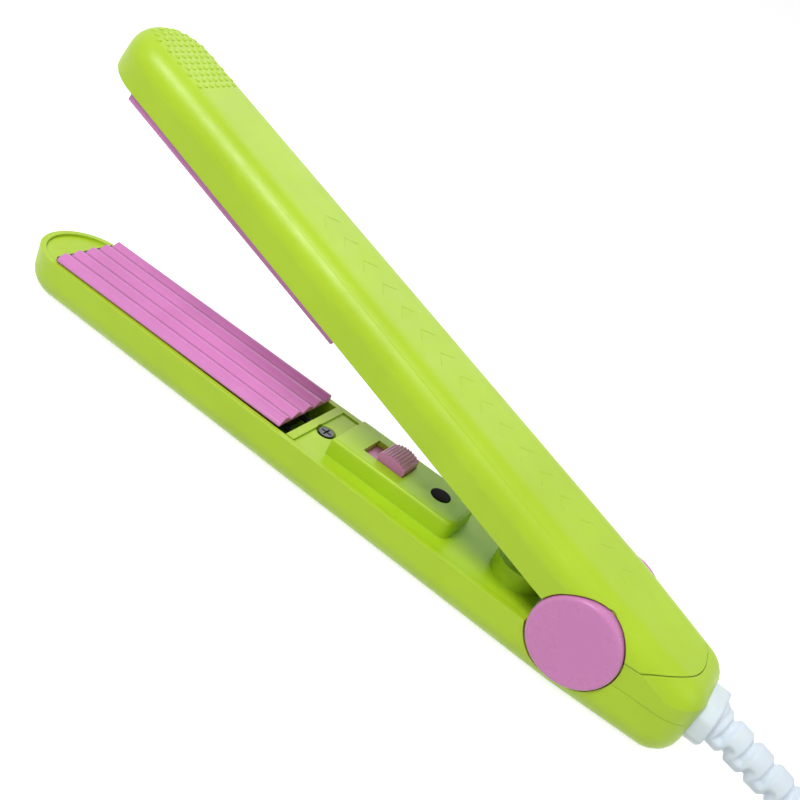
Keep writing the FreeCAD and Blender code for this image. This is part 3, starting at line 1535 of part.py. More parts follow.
def cord_hank():
    path = smooth_path(hank_stops())
    report_winding("cord hank", path, CORD_WIDE * 6, CORD_WIDE)
    keep("cord_hank", shape_feature("hank", tube_along(path, "cord_radius", "cord hank")))
    return path


def power_cord():
    arrival = hank_stops()[0]
    path = smooth_path([(SLEEVE_END, SLEEVE_WAY), arrival])
    report_winding("power cord", path, CORD_WIDE * 3, CORD_WIDE)
    keep("power_cord", shape_feature("cord_free", tube_along(path, "cord_radius", "power cord")))


def hull_of(points):
    """The corners of the convex outline round points, counter-clockwise."""
    corners = []
    for ordered in (sorted(points), sorted(points, reverse=True)):
        chain = []
        for point in ordered:
            while len(chain) > 1:
                (x1, y1), (x2, y2) = chain[-2:]
                if (x2 - x1) * (point[1] - y1) - (y2 - y1) * (point[0] - x1) > 1e-6:
                    break
                chain.pop()
            chain.append(point)
        corners += chain[:-1]
    return corners


def hank_tie(hank_path):
    """A band drawn tight round the hank's runs."""
    front = float(size("tie_x") - half("tie_width"))
    rear = float(size("tie_x") + half("tie_width"))
    spots = hank_path.discretize(Distance=1.0)
    crossing = [(spot.y, spot.z) for spot in spots if front - 1 < spot.x < rear + 1]
    outline_points = [V(front, y, z) for y, z in hull_of(crossing)]
    ring = Part.makePolygon([*outline_points, outline_points[0]])
    inner = size("cord_radius") + "tie_gap"
    solids = []
    for name, grow in (("tie_outside", inner + "tie_thick"), ("tie_inside", inner)):
        face = Part.Face(ring.makeOffset2D(float(grow)))
        solids.append(shape_feature(name, face.extrude(V(rear - front, 0, 0))))
    keep("hank_tie", cut("tie", *solids))


# Mains plug, lying on the hank between its two highest runs

PLUG_Y = size("hank_y") + TURN_PITCH / 4
PLUG_Z = size(layer_height(3)) + "cord_radius" + "prong_radius" + "prong_clear"
PLUG_BOTTOM = PLUG_Z - half("plug_height")


def plug():
    neck = V(float(size("plug_x")), float(PLUG_Y), float(PLUG_Z))
    path = smooth_path([hank_stops()[-1], (neck, X_AXIS)])
    report_winding("plug lead", path, CORD_WIDE * 3, CORD_WIDE)
    keep("plug_lead", shape_feature("lead", tube_along(path, "cord_radius", "plug lead")))

    wide = half("plug_width")
    narrow = half("plug_shoulder")
    rear = size("plug_x") + "neck_length"
    front = rear + "plug_length"
    bend = rear + "plug_taper"
    corners = [
        (rear, PLUG_Y - narrow),
        (bend, PLUG_Y - wide),
        (front, PLUG_Y - wide),
        (front, PLUG_Y + wide),
        (bend, PLUG_Y + wide),
        (rear, PLUG_Y + narrow),
    ]
    form = prism("plug_form", corners, "XY_Plane", PLUG_BOTTOM, "plug_height")

    def radii(edge):
        ends = [vertex.Point for vertex in edge.Vertexes]
        if all(abs(end.x - float(front)) < 1e-6 for end in ends):
            return None
        return [float(size("plug_edge"))] * 2
    eased = rounded("plug_eased", form, radii)
    neck_rod = rod("plug_neck", "neck_radius", (size("plug_x"), PLUG_Y, PLUG_Z),
                   size("neck_length") + 2, X_AXIS)
    holes = []
    pins = []
    sleeves = []
    for side, offset in (("left", half("prong_spacing")), ("right", -half("prong_spacing"))):
        y = PLUG_Y + offset
        tip = front + "prong_length"
        root_x = front - "prong_root"
        sleeve_end = front + "prong_sleeve_length"
        holes.append(rod(f"prong_hole_{side}", size("prong_sleeve") + "bore_gap",
                         (root_x - FIT, y, PLUG_Z), size("prong_root") + 1 + FIT, X_AXIS))
        bare = rod(f"prong_bare_{side}", "prong_radius", (sleeve_end, y, PLUG_Z),
                   tip - sleeve_end, X_AXIS)
        core = rod(f"prong_core_{side}", "prong_core", (root_x, y, PLUG_Z),
                   tip - 1 - root_x, X_AXIS)

        def ease(edge, tip=float(tip)):
            ends = [vertex.Point for vertex in edge.Vertexes]
            if any(abs(end.x - tip) > 1e-6 for end in ends):
                return None
            return [float(size("prong_tip"))] * 2
        rounded_bare = rounded(f"prong_tip_{side}", bare, ease)
        pins.append(join(f"prong_{side}", rounded_bare, core))
        sleeve = rod(f"prong_sleeve_{side}", "prong_sleeve", (root_x, y, PLUG_Z),
                     sleeve_end - "seat_gap" - root_x, X_AXIS)
        sleeve_bore = rod(f"prong_sleeve_bore_{side}", size("prong_core") + "bore_gap",
                          (root_x - 1, y, PLUG_Z), sleeve_end - root_x + 2, X_AXIS)
        sleeves.append(cut(f"prong_sleeve_cut_{side}", sleeve, sleeve_bore))
    keep("plug_body", cut("plug_finished", join("plug_solid", eased, neck_rod), *holes))
    keep("plug_pins", group("plug_pin_pair", *pins))
    keep("plug_pin_sleeves", group("plug_sleeve_pair", *sleeves))


def build():
    for arm, place, seat in (("lower", None, SCREW_SEAT),
                             ("upper", UPPER_PLACE, UPPER_DECK_TOP - "recess_floor")):
        heating_plate(arm, place)
        plate_holder(arm, place)
        cover_screw(arm, seat, place)
    lower_housing()
    lower_inner_cover()
    upper_housing()
    upper_inner_cover()
    switch_parts()
    board_parts()
    hinge_parts()
    opening_spring()
    inner_cord()
    strain_relief()
    cord_clamp()
    wires()
    hank_tie(cord_hank())
    power_cord()
    plug()


def check():
    """Stop at anything that failed to build, before a file is written."""
    doc.recompute()
    broken = [item.Name for item in doc.Objects if {"Invalid", "Error"} & set(item.State)]
    if broken:
        raise RuntimeError(f"failed objects: {broken}")
    for name, piece in nodes.items():
        if piece.Shape.isNull() or not piece.Shape.isValid() or not piece.Shape.Solids:
            raise RuntimeError(f"{name} has no valid shape")


build()
check()
for node_name, piece in nodes.items():
    piece.Shape.exportStep(f"parts/{node_name}.step")
    print(f"{node_name}: {len(piece.Shape.Solids)} solids, {piece.Shape.Volume:.1f} mm3")
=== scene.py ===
"""Looks of a small hair crimper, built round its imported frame."""
import json
import logging
import math
from dataclasses import dataclass, field
from enum import Enum

import bmesh
import bpy
from mathutils import Matrix, Vector


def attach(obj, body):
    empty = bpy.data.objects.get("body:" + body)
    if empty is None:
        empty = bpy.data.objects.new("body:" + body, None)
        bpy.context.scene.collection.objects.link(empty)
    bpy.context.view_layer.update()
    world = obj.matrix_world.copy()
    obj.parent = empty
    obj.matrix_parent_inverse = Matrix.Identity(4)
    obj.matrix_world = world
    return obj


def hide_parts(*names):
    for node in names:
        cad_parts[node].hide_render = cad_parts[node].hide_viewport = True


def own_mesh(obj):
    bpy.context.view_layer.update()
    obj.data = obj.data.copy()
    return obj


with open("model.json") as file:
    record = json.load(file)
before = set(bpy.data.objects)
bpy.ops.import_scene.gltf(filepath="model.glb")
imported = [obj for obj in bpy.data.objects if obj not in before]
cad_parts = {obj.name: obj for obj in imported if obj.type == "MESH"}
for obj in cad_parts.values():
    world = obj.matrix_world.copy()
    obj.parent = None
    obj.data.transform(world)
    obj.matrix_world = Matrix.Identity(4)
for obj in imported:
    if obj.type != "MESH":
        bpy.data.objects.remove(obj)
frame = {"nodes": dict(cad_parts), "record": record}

LOG = logging.getLogger("hair_crimper")
MM = 0.001
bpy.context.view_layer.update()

Colour = tuple[float, float, float]
Socket = bpy.types.NodeSocket


def linear(red: int, green: int, blue: int) -> Colour:
    """Turn a display colour into a linear one.

    Args:
        red: Red from 0 to 255.
        green: Green from 0 to 255.
        blue: Blue from 0 to 255.

    Returns:
        The colour in linear light.
    """
    parts = []
    for value in (red, green, blue):
        share = value / 255
        parts.append(share / 12.92 if share <= 0.04045 else ((share + 0.055) / 1.055) ** 2.4)
    return tuple(parts)


def tone(colour: Colour, share: float) -> Colour:
    """A colour made darker, or paler up to full light."""
    return tuple(min(part * share, 1.0) for part in colour)


def spot(x: float, y: float, z: float) -> Vector:
    """A dataclass field that starts as a place or a direction."""
    return field(default_factory=lambda: Vector((x, y, z)))


class Body(Enum):
    """The rigid bodies that pieces ride on."""

    LOWER = "lower_arm"
    UPPER = "upper_arm"


class Graph:
    """A material's nodes, with short calls for making and joining them."""

    def __init__(self, name: str) -> None:
        """Start a material with a principled shader.

        Args:
            name: The material's name.
        """
        self.material = bpy.data.materials.new(name)
        self.material.use_nodes = True
        self.tree = self.material.node_tree
        self.shader = self.tree.nodes["Principled BSDF"]

    def set(self, **values: float | Colour) -> None:
        """Set the shader's own sockets, named with underscores for spaces."""
        for name, value in values.items():
            self.shader.inputs[name.replace("_", " ")].default_value = value

    def node(self, kind: str, inputs: dict | None = None, **attributes: object) -> bpy.types.Node:
        """Make a node.

        Args:
            kind: The node's kind, without the word ShaderNode.
            inputs: Values or output sockets for its inputs.
            attributes: The node's own attributes.

        Returns:
            The new node.
        """
        made = self.tree.nodes.new("ShaderNode" + kind)
        for name, value in attributes.items():
            setattr(made, name, value)
        for name, value in (inputs or {}).items():
            self.feed(made.inputs[name], value)
        return made

    def feed(self, socket: Socket, value: object) -> None:
        """Set a socket to a value, or link an output to it."""
        if isinstance(value, bpy.types.NodeSocket):
            self.tree.links.new(value, socket)
        else:
            socket.default_value = value

    def place(self, stretch: Vector = Vector((1, 1, 1))) -> Socket:
        """The surface point in the object's own space, in millimetres.

        Args:
            stretch: Extra scale along each axis.

        Returns:
            The point's socket.
        """
        point = self.node("TexCoord").outputs["Object"]
        grown = self.node("Mapping", {"Vector": point, "Scale": Vector(stretch) / MM})
        return grown.outputs["Vector"]

    def noise(self, place: Socket, size: float, detail: float = 3.0, rough: float = 0.5) -> Socket:
        """Soft random values.

        Args:
            place: The point to read.
            size: The width of one blotch in millimetres.
            detail: How many finer layers there are.
            rough: How strong those layers are.

        Returns:
            The value's socket.
        """
        made = self.node("TexNoise", {"Vector": place, "Scale": 1 / size, "Detail": detail,
                                      "Roughness": rough})
        return made.outputs["Fac"]

    def scaled(self, value: Socket, factor: float) -> Socket:
        """A value times a factor."""
        made = self.node("Math", operation="MULTIPLY")
        self.feed(made.inputs[0], value)
        self.feed(made.inputs[1], factor)
        return made.outputs[0]

    def span(self, value: Socket, low: float, high: float, start: float = 0.35,
             end: float = 0.65) -> Socket:
        """Spread a value from one range over another.

        Args:
            value: The value's socket.
            low: The result at the range's start.
            high: The result at its end.
            start: Where the range starts.
            end: Where it ends.

        Returns:
            The result's socket.
        """
        made = self.node("MapRange", {"Value": value, "From Min": start, "From Max": end,
                                      "To Min": low, "To Max": high})
        return made.outputs["Result"]

    def mix(self, share: Socket, first: Socket | Colour, second: Socket | Colour) -> Socket:
        """Mix two colours by a share."""
        made = self.node("Mix", data_type="RGBA")
        self.feed(made.inputs["Factor"], share)
        for name, value in (("A", first), ("B", second)):
            socket = [s for s in made.inputs if s.name == name and s.type == "RGBA"][0]
            self.feed(socket, (*value, 1.0) if isinstance(value, tuple) else value)
        return [s for s in made.outputs if s.type == "RGBA"][0]

    def eased(self, reach: float) -> tuple[Socket, Socket]:
        """A normal that rounds sharp edges, and how far it agrees with the true one.

        Args:
            reach: The rounding's radius in millimetres.

        Returns:
            The normal's socket, and one that is 1 on flat ground and less at edges.
        """
        made = self.node("Bevel", {"Radius": reach * MM}, samples=4)
        agree = self.node("VectorMath", operation="DOT_PRODUCT")
        self.feed(agree.inputs[0], made.outputs["Normal"])
        self.feed(agree.inputs[1], self.node("NewGeometry").outputs["Normal"])
        return made.outputs["Normal"], agree.outputs["Value"]

    def bump(self, height: Socket, depth: float, under: Socket | None = None) -> Socket:
        """A normal that follows a height.

        Args:
            height: The height's socket, from 0 to 1.
            depth: How deep the relief is in millimetres.
            under: A normal to build on.

        Returns:
            The normal's socket.
        """
        made = self.node("Bump", {"Height": height, "Distance": depth * MM, "Strength": 1.0})
        if under is not None:
            self.feed(made.inputs["Normal"], under)
        return made.outputs["Normal"]

    def wear(self, colour: Socket, roughness: Socket, normal: Socket | None = None) -> bpy.types.Material:
        """Feed the shader.

        Args:
            colour: The colour's socket.
            roughness: The roughness's socket.
            normal: The normal's socket, if the surface has relief.

        Returns:
            The material.
        """
        self.feed(self.shader.inputs["Base Color"], colour)
        self.feed(self.shader.inputs["Roughness"], roughness)
        if normal is not None:
            self.feed(self.shader.inputs["Normal"], normal)
        return self.material


@dataclass(frozen=True, kw_only=True)
class MouldedPlastic:
    """Satin plastic from a spark-eroded mould: a fine even grain, faint clouds, a painted highlight along
    edges and painted shade in creases.
    """

    name: str
    colour: Colour
    cloud: float
    cloud_size: float = 14.0
    roughness: float
    rub_size: float = 5.0
    rub: float = 0.05
    grain: float = 0.16
    grain_depth: float = 0.006
    grain_tone: float = 1.15
    wave_size: float = 9.0
    wave_depth: float = 0.01
    # Painted highlight along edges: its strength, its paler colour, the rounding reach (which also shapes
    # the normal) and the range of the mask.
    edge_highlight: float
    edge_highlight_colour: Colour
    edge_reach: float = 0.22
    edge_highlight_range: tuple[float, float] = (0.8, 0.99)
    # Painted shade in creases and hollows, from ambient occlusion: its strength, reach, range and darker
    # tone.
    crease_shade: float = 0.3
    crease_shade_reach: float = 1.0
    crease_shade_range: tuple[float, float] = (0.25, 0.9)
    crease_shade_tone: float = 0.35
    gloss: float = 0.45
    under_skin: float = 0.0
    skin_depth: float = 0.6
    skin_reach: Colour = (1.0, 0.9, 0.4)

    def make(self) -> bpy.types.Material:
        """Build the material."""
        graph = Graph(self.name)
        place = graph.place()
        clouds = graph.span(graph.noise(place, self.cloud_size, 2.0), 0.0, 1.0)
        base = graph.mix(clouds, tone(self.colour, 1 - self.cloud), tone(self.colour, 1 + self.cloud))
        specks = graph.span(graph.noise(place, self.grain, 2.0), 0.0, 1.0)
        base = graph.mix(graph.scaled(specks, self.cloud), base, tone(self.colour, self.grain_tone))
        eased, turned = graph.eased(self.edge_reach)
        # Painted highlight: edges are mixed towards a paler colour where the rounded normal turns away
        # from the true one.
        base = graph.mix(graph.span(turned, self.edge_highlight, 0.0, *self.edge_highlight_range), base, self.edge_highlight_colour)
        # Painted shade: ambient occlusion darkens creases and hollows towards a darker tone of the
        # colour.
        shade = graph.node("AmbientOcclusion", {"Distance": self.crease_shade_reach * MM}, samples=6)
        painted_shade = graph.span(shade.outputs["AO"], self.crease_shade, 0.0, *self.crease_shade_range)
        base = graph.mix(painted_shade, base, tone(self.colour, self.crease_shade_tone))
        rub = graph.span(graph.noise(place, self.rub_size, 4.0, 0.6),
                         self.roughness - self.rub, self.roughness + self.rub)
        fine = graph.bump(specks, self.grain_depth, eased)
        soft = graph.bump(graph.noise(place, self.wave_size, 1.0), self.wave_depth, fine)
        graph.set(Specular_IOR_Level=self.gloss, Subsurface_Weight=self.under_skin,
                  Subsurface_Radius=self.skin_reach, Subsurface_Scale=self.skin_depth * MM)
        return graph.wear(base, rub, soft)


@dataclass(frozen=True)
class DrawnMetal:
    """Metal with fine marks along the way it was drawn or turned, and duller patches."""

    name: str
    colour: Colour
    roughness: float
    marks: Vector = spot(0.2, 4.0, 4.0)
    mark_tone: float = 0.78
    mark_depth: float = 0.006
    patch_size: float = 2.2
    patch_tone: float = 0.6
    patch: float = 0.25

    def make(self) -> bpy.types.Material:
        """Build the material."""
        graph = Graph(self.name)
        lines = graph.noise(graph.place(self.marks), 1.0, 3.0)
        dull = graph.noise(graph.place(), self.patch_size, 3.0, 0.6)
        base = graph.mix(graph.span(lines, 0.0, 1.0), tone(self.colour, self.mark_tone), self.colour)
        base = graph.mix(graph.span(dull, 0.0, self.patch, 0.45, 0.8), base,
                         tone(self.colour, self.patch_tone))
        rub = graph.span(dull, self.roughness - 0.06, self.roughness + 0.12)
        graph.set(Metallic=1.0)
        return graph.wear(base, rub, graph.bump(lines, self.mark_depth))


@dataclass(frozen=True)
class FiredCeramic:
    """Dense white ceramic with a dry surface and small dark specks."""

    name: str
    colour: Colour
    speck_size: float = 0.35
    speck: float = 0.35
    speck_tone: float = 0.5
    pore_size: float = 0.2
    pore_depth: float = 0.01

    def make(self) -> bpy.types.Material:
        """Build the material."""
        graph = Graph(self.name)
        place = graph.place()
        specks = graph.span(graph.noise(place, self.speck_size, 4.0, 0.7), 0.0, self.speck, 0.62, 0.8)
        base = graph.mix(specks, self.colour, tone(self.colour, self.speck_tone))
        rub = graph.span(graph.noise(place, 1.5), 0.55, 0.75)
        return graph.wear(base, rub, graph.bump(graph.noise(place, self.pore_size), self.pore_depth))


@dataclass(frozen=True)
class PrintedBoard:
    """Laminate board: a weave under the lacquer and copper tracks that stand a little proud."""

    name: str
    colour: Colour
    copper: Colour
    weave_scale: float = 2.5
    weave: float = 0.12
    weave_tone: float = 1.6
    track_scale: float = 0.45
    track_depth: float = 0.03

    def make(self) -> bpy.types.Material:
        """Build the material."""
        graph = Graph(self.name)
        place = graph.place()
        weave = graph.node("TexChecker", {"Vector": place, "Scale": self.weave_scale}).outputs["Fac"]
        tracks = graph.node("TexBrick", {"Vector": place, "Scale": self.track_scale,
                                         "Mortar Size": 0.035, "Mortar Smooth": 0.1,
                                         "Brick Width": 1.6, "Row Height": 0.7}).outputs["Fac"]
        lacquer = graph.mix(graph.scaled(weave, self.weave), self.colour,
                            tone(self.colour, self.weave_tone))
        rub = graph.span(graph.noise(place, 1.0), 0.25, 0.4)
        return graph.wear(graph.mix(tracks, lacquer, self.copper), rub,
                          graph.bump(tracks, self.track_depth))


@dataclass(frozen=True)
class LampLens:
    """Smoked resin lens of the lamp, with faint streaks from its mould."""

    name: str
    colour: Colour
    streak_size: float = 0.8
    streak_tone: float = 1.8
    gloss: float = 0.02

    def make(self) -> bpy.types.Material:
        """Build the material."""
        graph = Graph(self.name)
        streaks = graph.noise(graph.place(), self.streak_size, 2.0)
        base = graph.mix(graph.span(streaks, 0.0, 1.0), self.colour, tone(self.colour, self.streak_tone))
        graph.set(Specular_IOR_Level=self.gloss)
        return graph.wear(base, graph.span(streaks, 0.3, 0.42))


@dataclass(frozen=True)
class CableCover:
    """Soft cable cover: slight waves along its length and a dull skin."""

    name: str
    colour: Colour
    roughness: float
    rub_size: float = 3.0
    rub_tone: float = 0.9
    rub: float = 0.08
    skin_size: float = 0.25
    skin_depth: float = 0.008
    wave_size: float = 6.0
    wave_depth: float = 0.05

    def make(self) -> bpy.types.Material:
        """Build the material."""
        graph = Graph(self.name)
        place = graph.place()
        worn = graph.noise(place, self.rub_size, 4.0, 0.6)
        base = graph.mix(graph.span(worn, 0.0, 1.0), tone(self.colour, self.rub_tone), self.colour)
        skin = graph.bump(graph.noise(place, self.skin_size, 2.0), self.skin_depth)
        waves = graph.bump(graph.noise(place, self.wave_size, 1.0), self.wave_depth, skin)
        return graph.wear(base, graph.span(worn, self.roughness - self.rub, self.roughness + self.rub),
                          waves)


class Paints:
    """Every finish of the object, by the record's material slot."""

    def __init__(self) -> None:
        """Make each material once."""
        finishes = [
            MouldedPlastic(name="green_plastic", colour=linear(187, 223, 40), cloud=0.03,
                           roughness=0.38, edge_highlight=0.25, edge_highlight_colour=linear(214, 240, 120), crease_shade=0.2,
                           under_skin=0.12),
            MouldedPlastic(name="pink_coating", colour=linear(226, 140, 206), cloud=0.05,
                           roughness=0.36, grain=0.1, grain_depth=0.004, edge_highlight=0.4,
                           edge_highlight_colour=linear(240, 178, 224), crease_shade=0.8, crease_shade_reach=0.9),
            MouldedPlastic(name="pink_plastic", colour=linear(220, 138, 198), cloud=0.02,
                           roughness=0.3, grain=0.3, grain_depth=0.002, edge_highlight=0.12,
                           edge_highlight_colour=linear(232, 168, 210), crease_shade=0.04, under_skin=0.1),
            MouldedPlastic(name="white_plastic", colour=linear(231, 242, 252), cloud=0.03,
                           roughness=0.4, grain=0.2, grain_depth=0.004, edge_highlight=0.2,
                           edge_highlight_colour=linear(245, 248, 250), under_skin=0.2),
            MouldedPlastic(name="dark_plastic", colour=linear(44, 42, 46), cloud=0.2,
                           roughness=0.5, grain=0.25, grain_depth=0.01, edge_highlight=0.2,
                           edge_highlight_colour=linear(90, 88, 92)),
            FiredCeramic("ceramic", linear(232, 230, 224)),
            # The steel is painted much darker than bare steel: painted shade that keeps the screw dim in
            # its deep recess.
            DrawnMetal("steel", linear(98, 99, 103), 0.36),
            DrawnMetal("nickel", linear(158, 154, 146), 0.18),
            PrintedBoard("board", linear(60, 110, 62), linear(196, 140, 90)),
            LampLens("lamp_lens", linear(14, 12, 14)),
            CableCover("wire_cover", linear(38, 36, 40), 0.45),
            CableCover("cord_cover", linear(231, 240, 249), 0.42),
        ]
        self.by_slot = {finish.name: finish.make() for finish in finishes}

    def dress(self, piece: bpy.types.Object, slot: str) -> None:
        """Give a piece one finish all over and name its slot."""
        piece.data.materials.clear()
        piece.data.materials.append(self.by_slot[slot])

    def dress_frame(self) -> None:
        """Give every CAD node the finish that the record names for it."""
        slots = {part["node"]: part["material_slot"] for part in frame["record"]["subparts"]}
        for name, node in frame["nodes"].items():
            node.data.materials.clear()
            node.data.materials.append(self.by_slot[slots[name]])
            LOG.info("%s is in %s", name, slots[name])


@dataclass
class Studio:
    """Camera, lamps, world and floor."""

    place: Vector = spot(61.33, -172.58, 123.37)
    right: Vector = spot(0.78514, 0.47843, 0.39329)
    up: Vector = spot(-0.55663, 0.26692, 0.78673)
    focal_pixels: float = 1091.0
    frame_pixels: float = 800.0
    sensor_width: float = 36.0
    # Each lamp's name, its place and width in metres, and its power in watts.
    lights: tuple[tuple[str, tuple[float, float, float], float, float], ...] = (
        ("key", (-0.16, -0.53, 0.95), 0.4, 7.2),
        ("side", (0.9, -0.1, 0.6), 0.5, 1.5),
        ("back", (-0.2, 0.8, 0.7), 0.8, 2.0),
    )
    aim: Vector = spot(0.0, 0.0, 0.02)
    world_light: float = 0.25
    floor_tone: float = 0.7
    floor_glow: float = 0.8
    floor_reach: float = 3.0

    def camera(self) -> None:
        """Make the camera at the photograph's viewing angle."""
        data = bpy.data.cameras.new("camera")
        data.sensor_width = self.sensor_width
        data.lens = data.sensor_width * self.focal_pixels / self.frame_pixels
        data.clip_start = 0.01
        camera = bpy.data.objects.new("camera", data)
        bpy.context.scene.collection.objects.link(camera)
        back = self.right.cross(self.up)
        turn = Matrix((self.right, self.up, back)).transposed()
        camera.matrix_world = Matrix.Translation(self.place * MM) @ turn.to_4x4()
        bpy.context.scene.camera = camera

    def lamps(self) -> None:
        """Hang three large soft lamps round the object."""
        for name, place, size, watts in self.lights:
            data = bpy.data.lights.new(name, "AREA")
            data.size = size
            data.energy = watts
            lamp = bpy.data.objects.new(name, data)
            bpy.context.scene.collection.objects.link(lamp)
            lamp.location = place
            lamp.rotation_mode = "QUATERNION"
            lamp.rotation_quaternion = (self.aim - lamp.location).to_track_quat("-Z", "Y")

    def looked_at(self, tree: bpy.types.NodeTree) -> Socket:
        """Tell looks from light.

        Args:
            tree: The tree to add the nodes to.

        Returns:
            A socket that is 1 for the camera, reflections and glass, and 0 for other light.
        """
        path = tree.nodes.new("ShaderNodeLightPath")
        total = path.outputs["Is Camera Ray"]
        for ray in ("Is Glossy Ray", "Is Transmission Ray"):
            both = tree.nodes.new("ShaderNodeMath")
            both.operation = "ADD"
            both.use_clamp = True
            tree.links.new(total, both.inputs[0])
            tree.links.new(path.outputs[ray], both.inputs[1])
            total = both.outputs[0]
        return total

    def world(self) -> None:
        """Give the world a plain white look and a soft light."""
        world = bpy.data.worlds.new("studio")
        world.use_nodes = True
        tree = world.node_tree
        tree.nodes.clear()
        mix = tree.nodes.new("ShaderNodeMixShader")
        out = tree.nodes.new("ShaderNodeOutputWorld")
        tree.links.new(self.looked_at(tree), mix.inputs["Fac"])
        for number, strength in enumerate((self.world_light, 1.0), start=1):
            light = tree.nodes.new("ShaderNodeBackground")
            light.inputs["Color"].default_value = (1.0, 1.0, 1.0, 1.0)
            light.inputs["Strength"].default_value = strength
            tree.links.new(light.outputs[0], mix.inputs[number])
        tree.links.new(mix.outputs[0], out.inputs["Surface"])
        bpy.context.scene.world = world

    def floor_paint(self) -> bpy.types.Material:
        """The floor's finish: a glow to the eye over a matt ground that takes the shadow."""
        paint = bpy.data.materials.new("pale_floor")
        paint.use_nodes = True
        tree = paint.node_tree
        tree.nodes.clear()
        matt = tree.nodes.new("ShaderNodeBsdfDiffuse")
        matt.inputs["Color"].default_value = (*[self.floor_tone] * 3, 1.0)
        glow = tree.nodes.new("ShaderNodeEmission")
        level = tree.nodes.new("ShaderNodeMath")
        level.operation = "MULTIPLY"
        level.inputs[1].default_value = self.floor_glow
        both = tree.nodes.new("ShaderNodeAddShader")
        out = tree.nodes.new("ShaderNodeOutputMaterial")
        for source, target in ((self.looked_at(tree), level.inputs[0]),
                               (level.outputs[0], glow.inputs["Strength"]),
                               (matt.outputs[0], both.inputs[0]), (glow.outputs[0], both.inputs[1]),
                               (both.outputs[0], out.inputs["Surface"])):
            tree.links.new(source, target)
        return paint

    def floor(self) -> None:
        """Lay a pale floor that keeps the object's soft shadow."""
        mesh = bpy.data.meshes.new("floor")
        reach = self.floor_reach
        mesh.from_pydata([(-reach, -reach, 0), (reach, -reach, 0), (reach, reach, 0), (-reach, reach, 0)],
                         [], [(0, 1, 2, 3)])
        floor = bpy.data.objects.new("floor", mesh)
        bpy.context.scene.collection.objects.link(floor)
        mesh.materials.append(self.floor_paint())

    def build(self) -> None:
        """Set up the whole studio."""
        self.camera()
        self.lamps()
        self.world()
        self.floor()


@dataclass
class Lead:
    """The mains lead from the sleeve's end to the plug, with its hank."""

    diameter: float = 5.0
    length: float = 1120.6
    sleeve_end: Vector = spot(105.4, 0.0, 3.9)
    sleeve_way: Vector = spot(0.9722, 0.0, -0.2344)
    straight: float = 6.6
    way_in: tuple[tuple[float, float, float], ...] = ((119.5, 4.6, 2.7), (126.5, 9.5, 3.3))
    near: float = 137.0
    far: float = 212.0
    # Each run's Y, then its height where it starts and where it ends.
    runs: tuple[tuple[float, float, float], ...] = (
        (9.5, 3.3, 3.3),
        (-31.75, 3.3, 3.3),
        (4.0, 3.3, 3.3),
        (-26.25, 3.3, 8.8),
        (4.0, 8.8, 8.8),
        (-31.75, 8.8, 8.8),
        (9.5, 8.8, 14.3),
        (-31.75, 14.3, 14.3),
    )
    fold: float = 15.0
    bend_points: int = 7
    leave: float = 150.5
    climb: Vector = spot(158.5, -6.4, 17.0)
    neck_start: float = 165.5
    neck: Vector = spot(171.5, -11.125, 19.75)

    def bend(self, x: float, start: float, end: float, height: float, way: int) -> list[Vector]:
        """Control points of a half turn from one run to the next.

        The curve runs inside its control points, so they stand further out than the turn.

        Args:
            x: Where the turn's middle is along the hank.
            start: The first run's Y.
            end: The next run's Y.
            height: The turn's height.
            way: 1 at the far end, -1 at the near one.

        Returns:
            The points in order, without the runs' own ends.
        """
        middle = (start + end) / 2
        radius = (start - end) / 2
        step = math.pi / self.bend_points
        outward = abs(radius) / ((3 + math.cos(step)) / 4)
        points = []
        for index in range(self.bend_points):
            angle = (index + 0.5) * step
            side = math.copysign(outward, radius) * math.cos(angle)
            points.append(Vector((x + way * outward * math.sin(angle), middle + side, height)))
        return points

    def route(self) -> list[Vector]:
        """The lead's control points, in millimetres from the sleeve to the plug's neck."""
        points = [self.sleeve_end, self.sleeve_end + self.sleeve_way * self.straight,
                  *map(Vector, self.way_in)]
        for number, (y, first, last) in enumerate(self.runs):
            way = 1 if number % 2 == 0 else -1
            start, end = (self.near, self.far)[::way]
            points += [Vector((start, y, first)), Vector((end, y, last))]
            if number + 1 < len(self.runs):
                points += self.bend(end, y, self.runs[number + 1][0], last, way)
        y, _, level = self.runs[-1]
        top = y + 2 * self.fold
        points += self.bend(self.near, y, top, level, -1)
        points += [Vector((self.near, top, level)), Vector((self.leave, top, level)), self.climb,
                   Vector((self.neck_start, self.neck.y, self.neck.z)), self.neck]
        return points

    def build(self, paints: Paints) -> None:
        curve = bpy.data.curves.new("mains_lead", "CURVE")
        curve.dimensions = "3D"
        curve.bevel_depth = self.diameter / 2 * MM
        curve.bevel_resolution = 8
        curve.resolution_u = 5
        curve.use_fill_caps = True
        spline = curve.splines.new("NURBS")
        points = self.route()
        spline.points.add(len(points) - 1)
        for slot, place in zip(spline.points, points):
            slot.co = (*(place * MM), 1.0)
        spline.order_u = 3
        spline.use_endpoint_u = True
        lead = bpy.data.objects.new("mains_lead", curve)
        bpy.context.scene.collection.objects.link(lead)
        paints.dress(lead, "cord_cover")
        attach(lead, Body.LOWER.value)
        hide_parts("power_cord", "cord_hank", "plug_lead")
        LOG.info("mains lead laid with %d points", len(points))


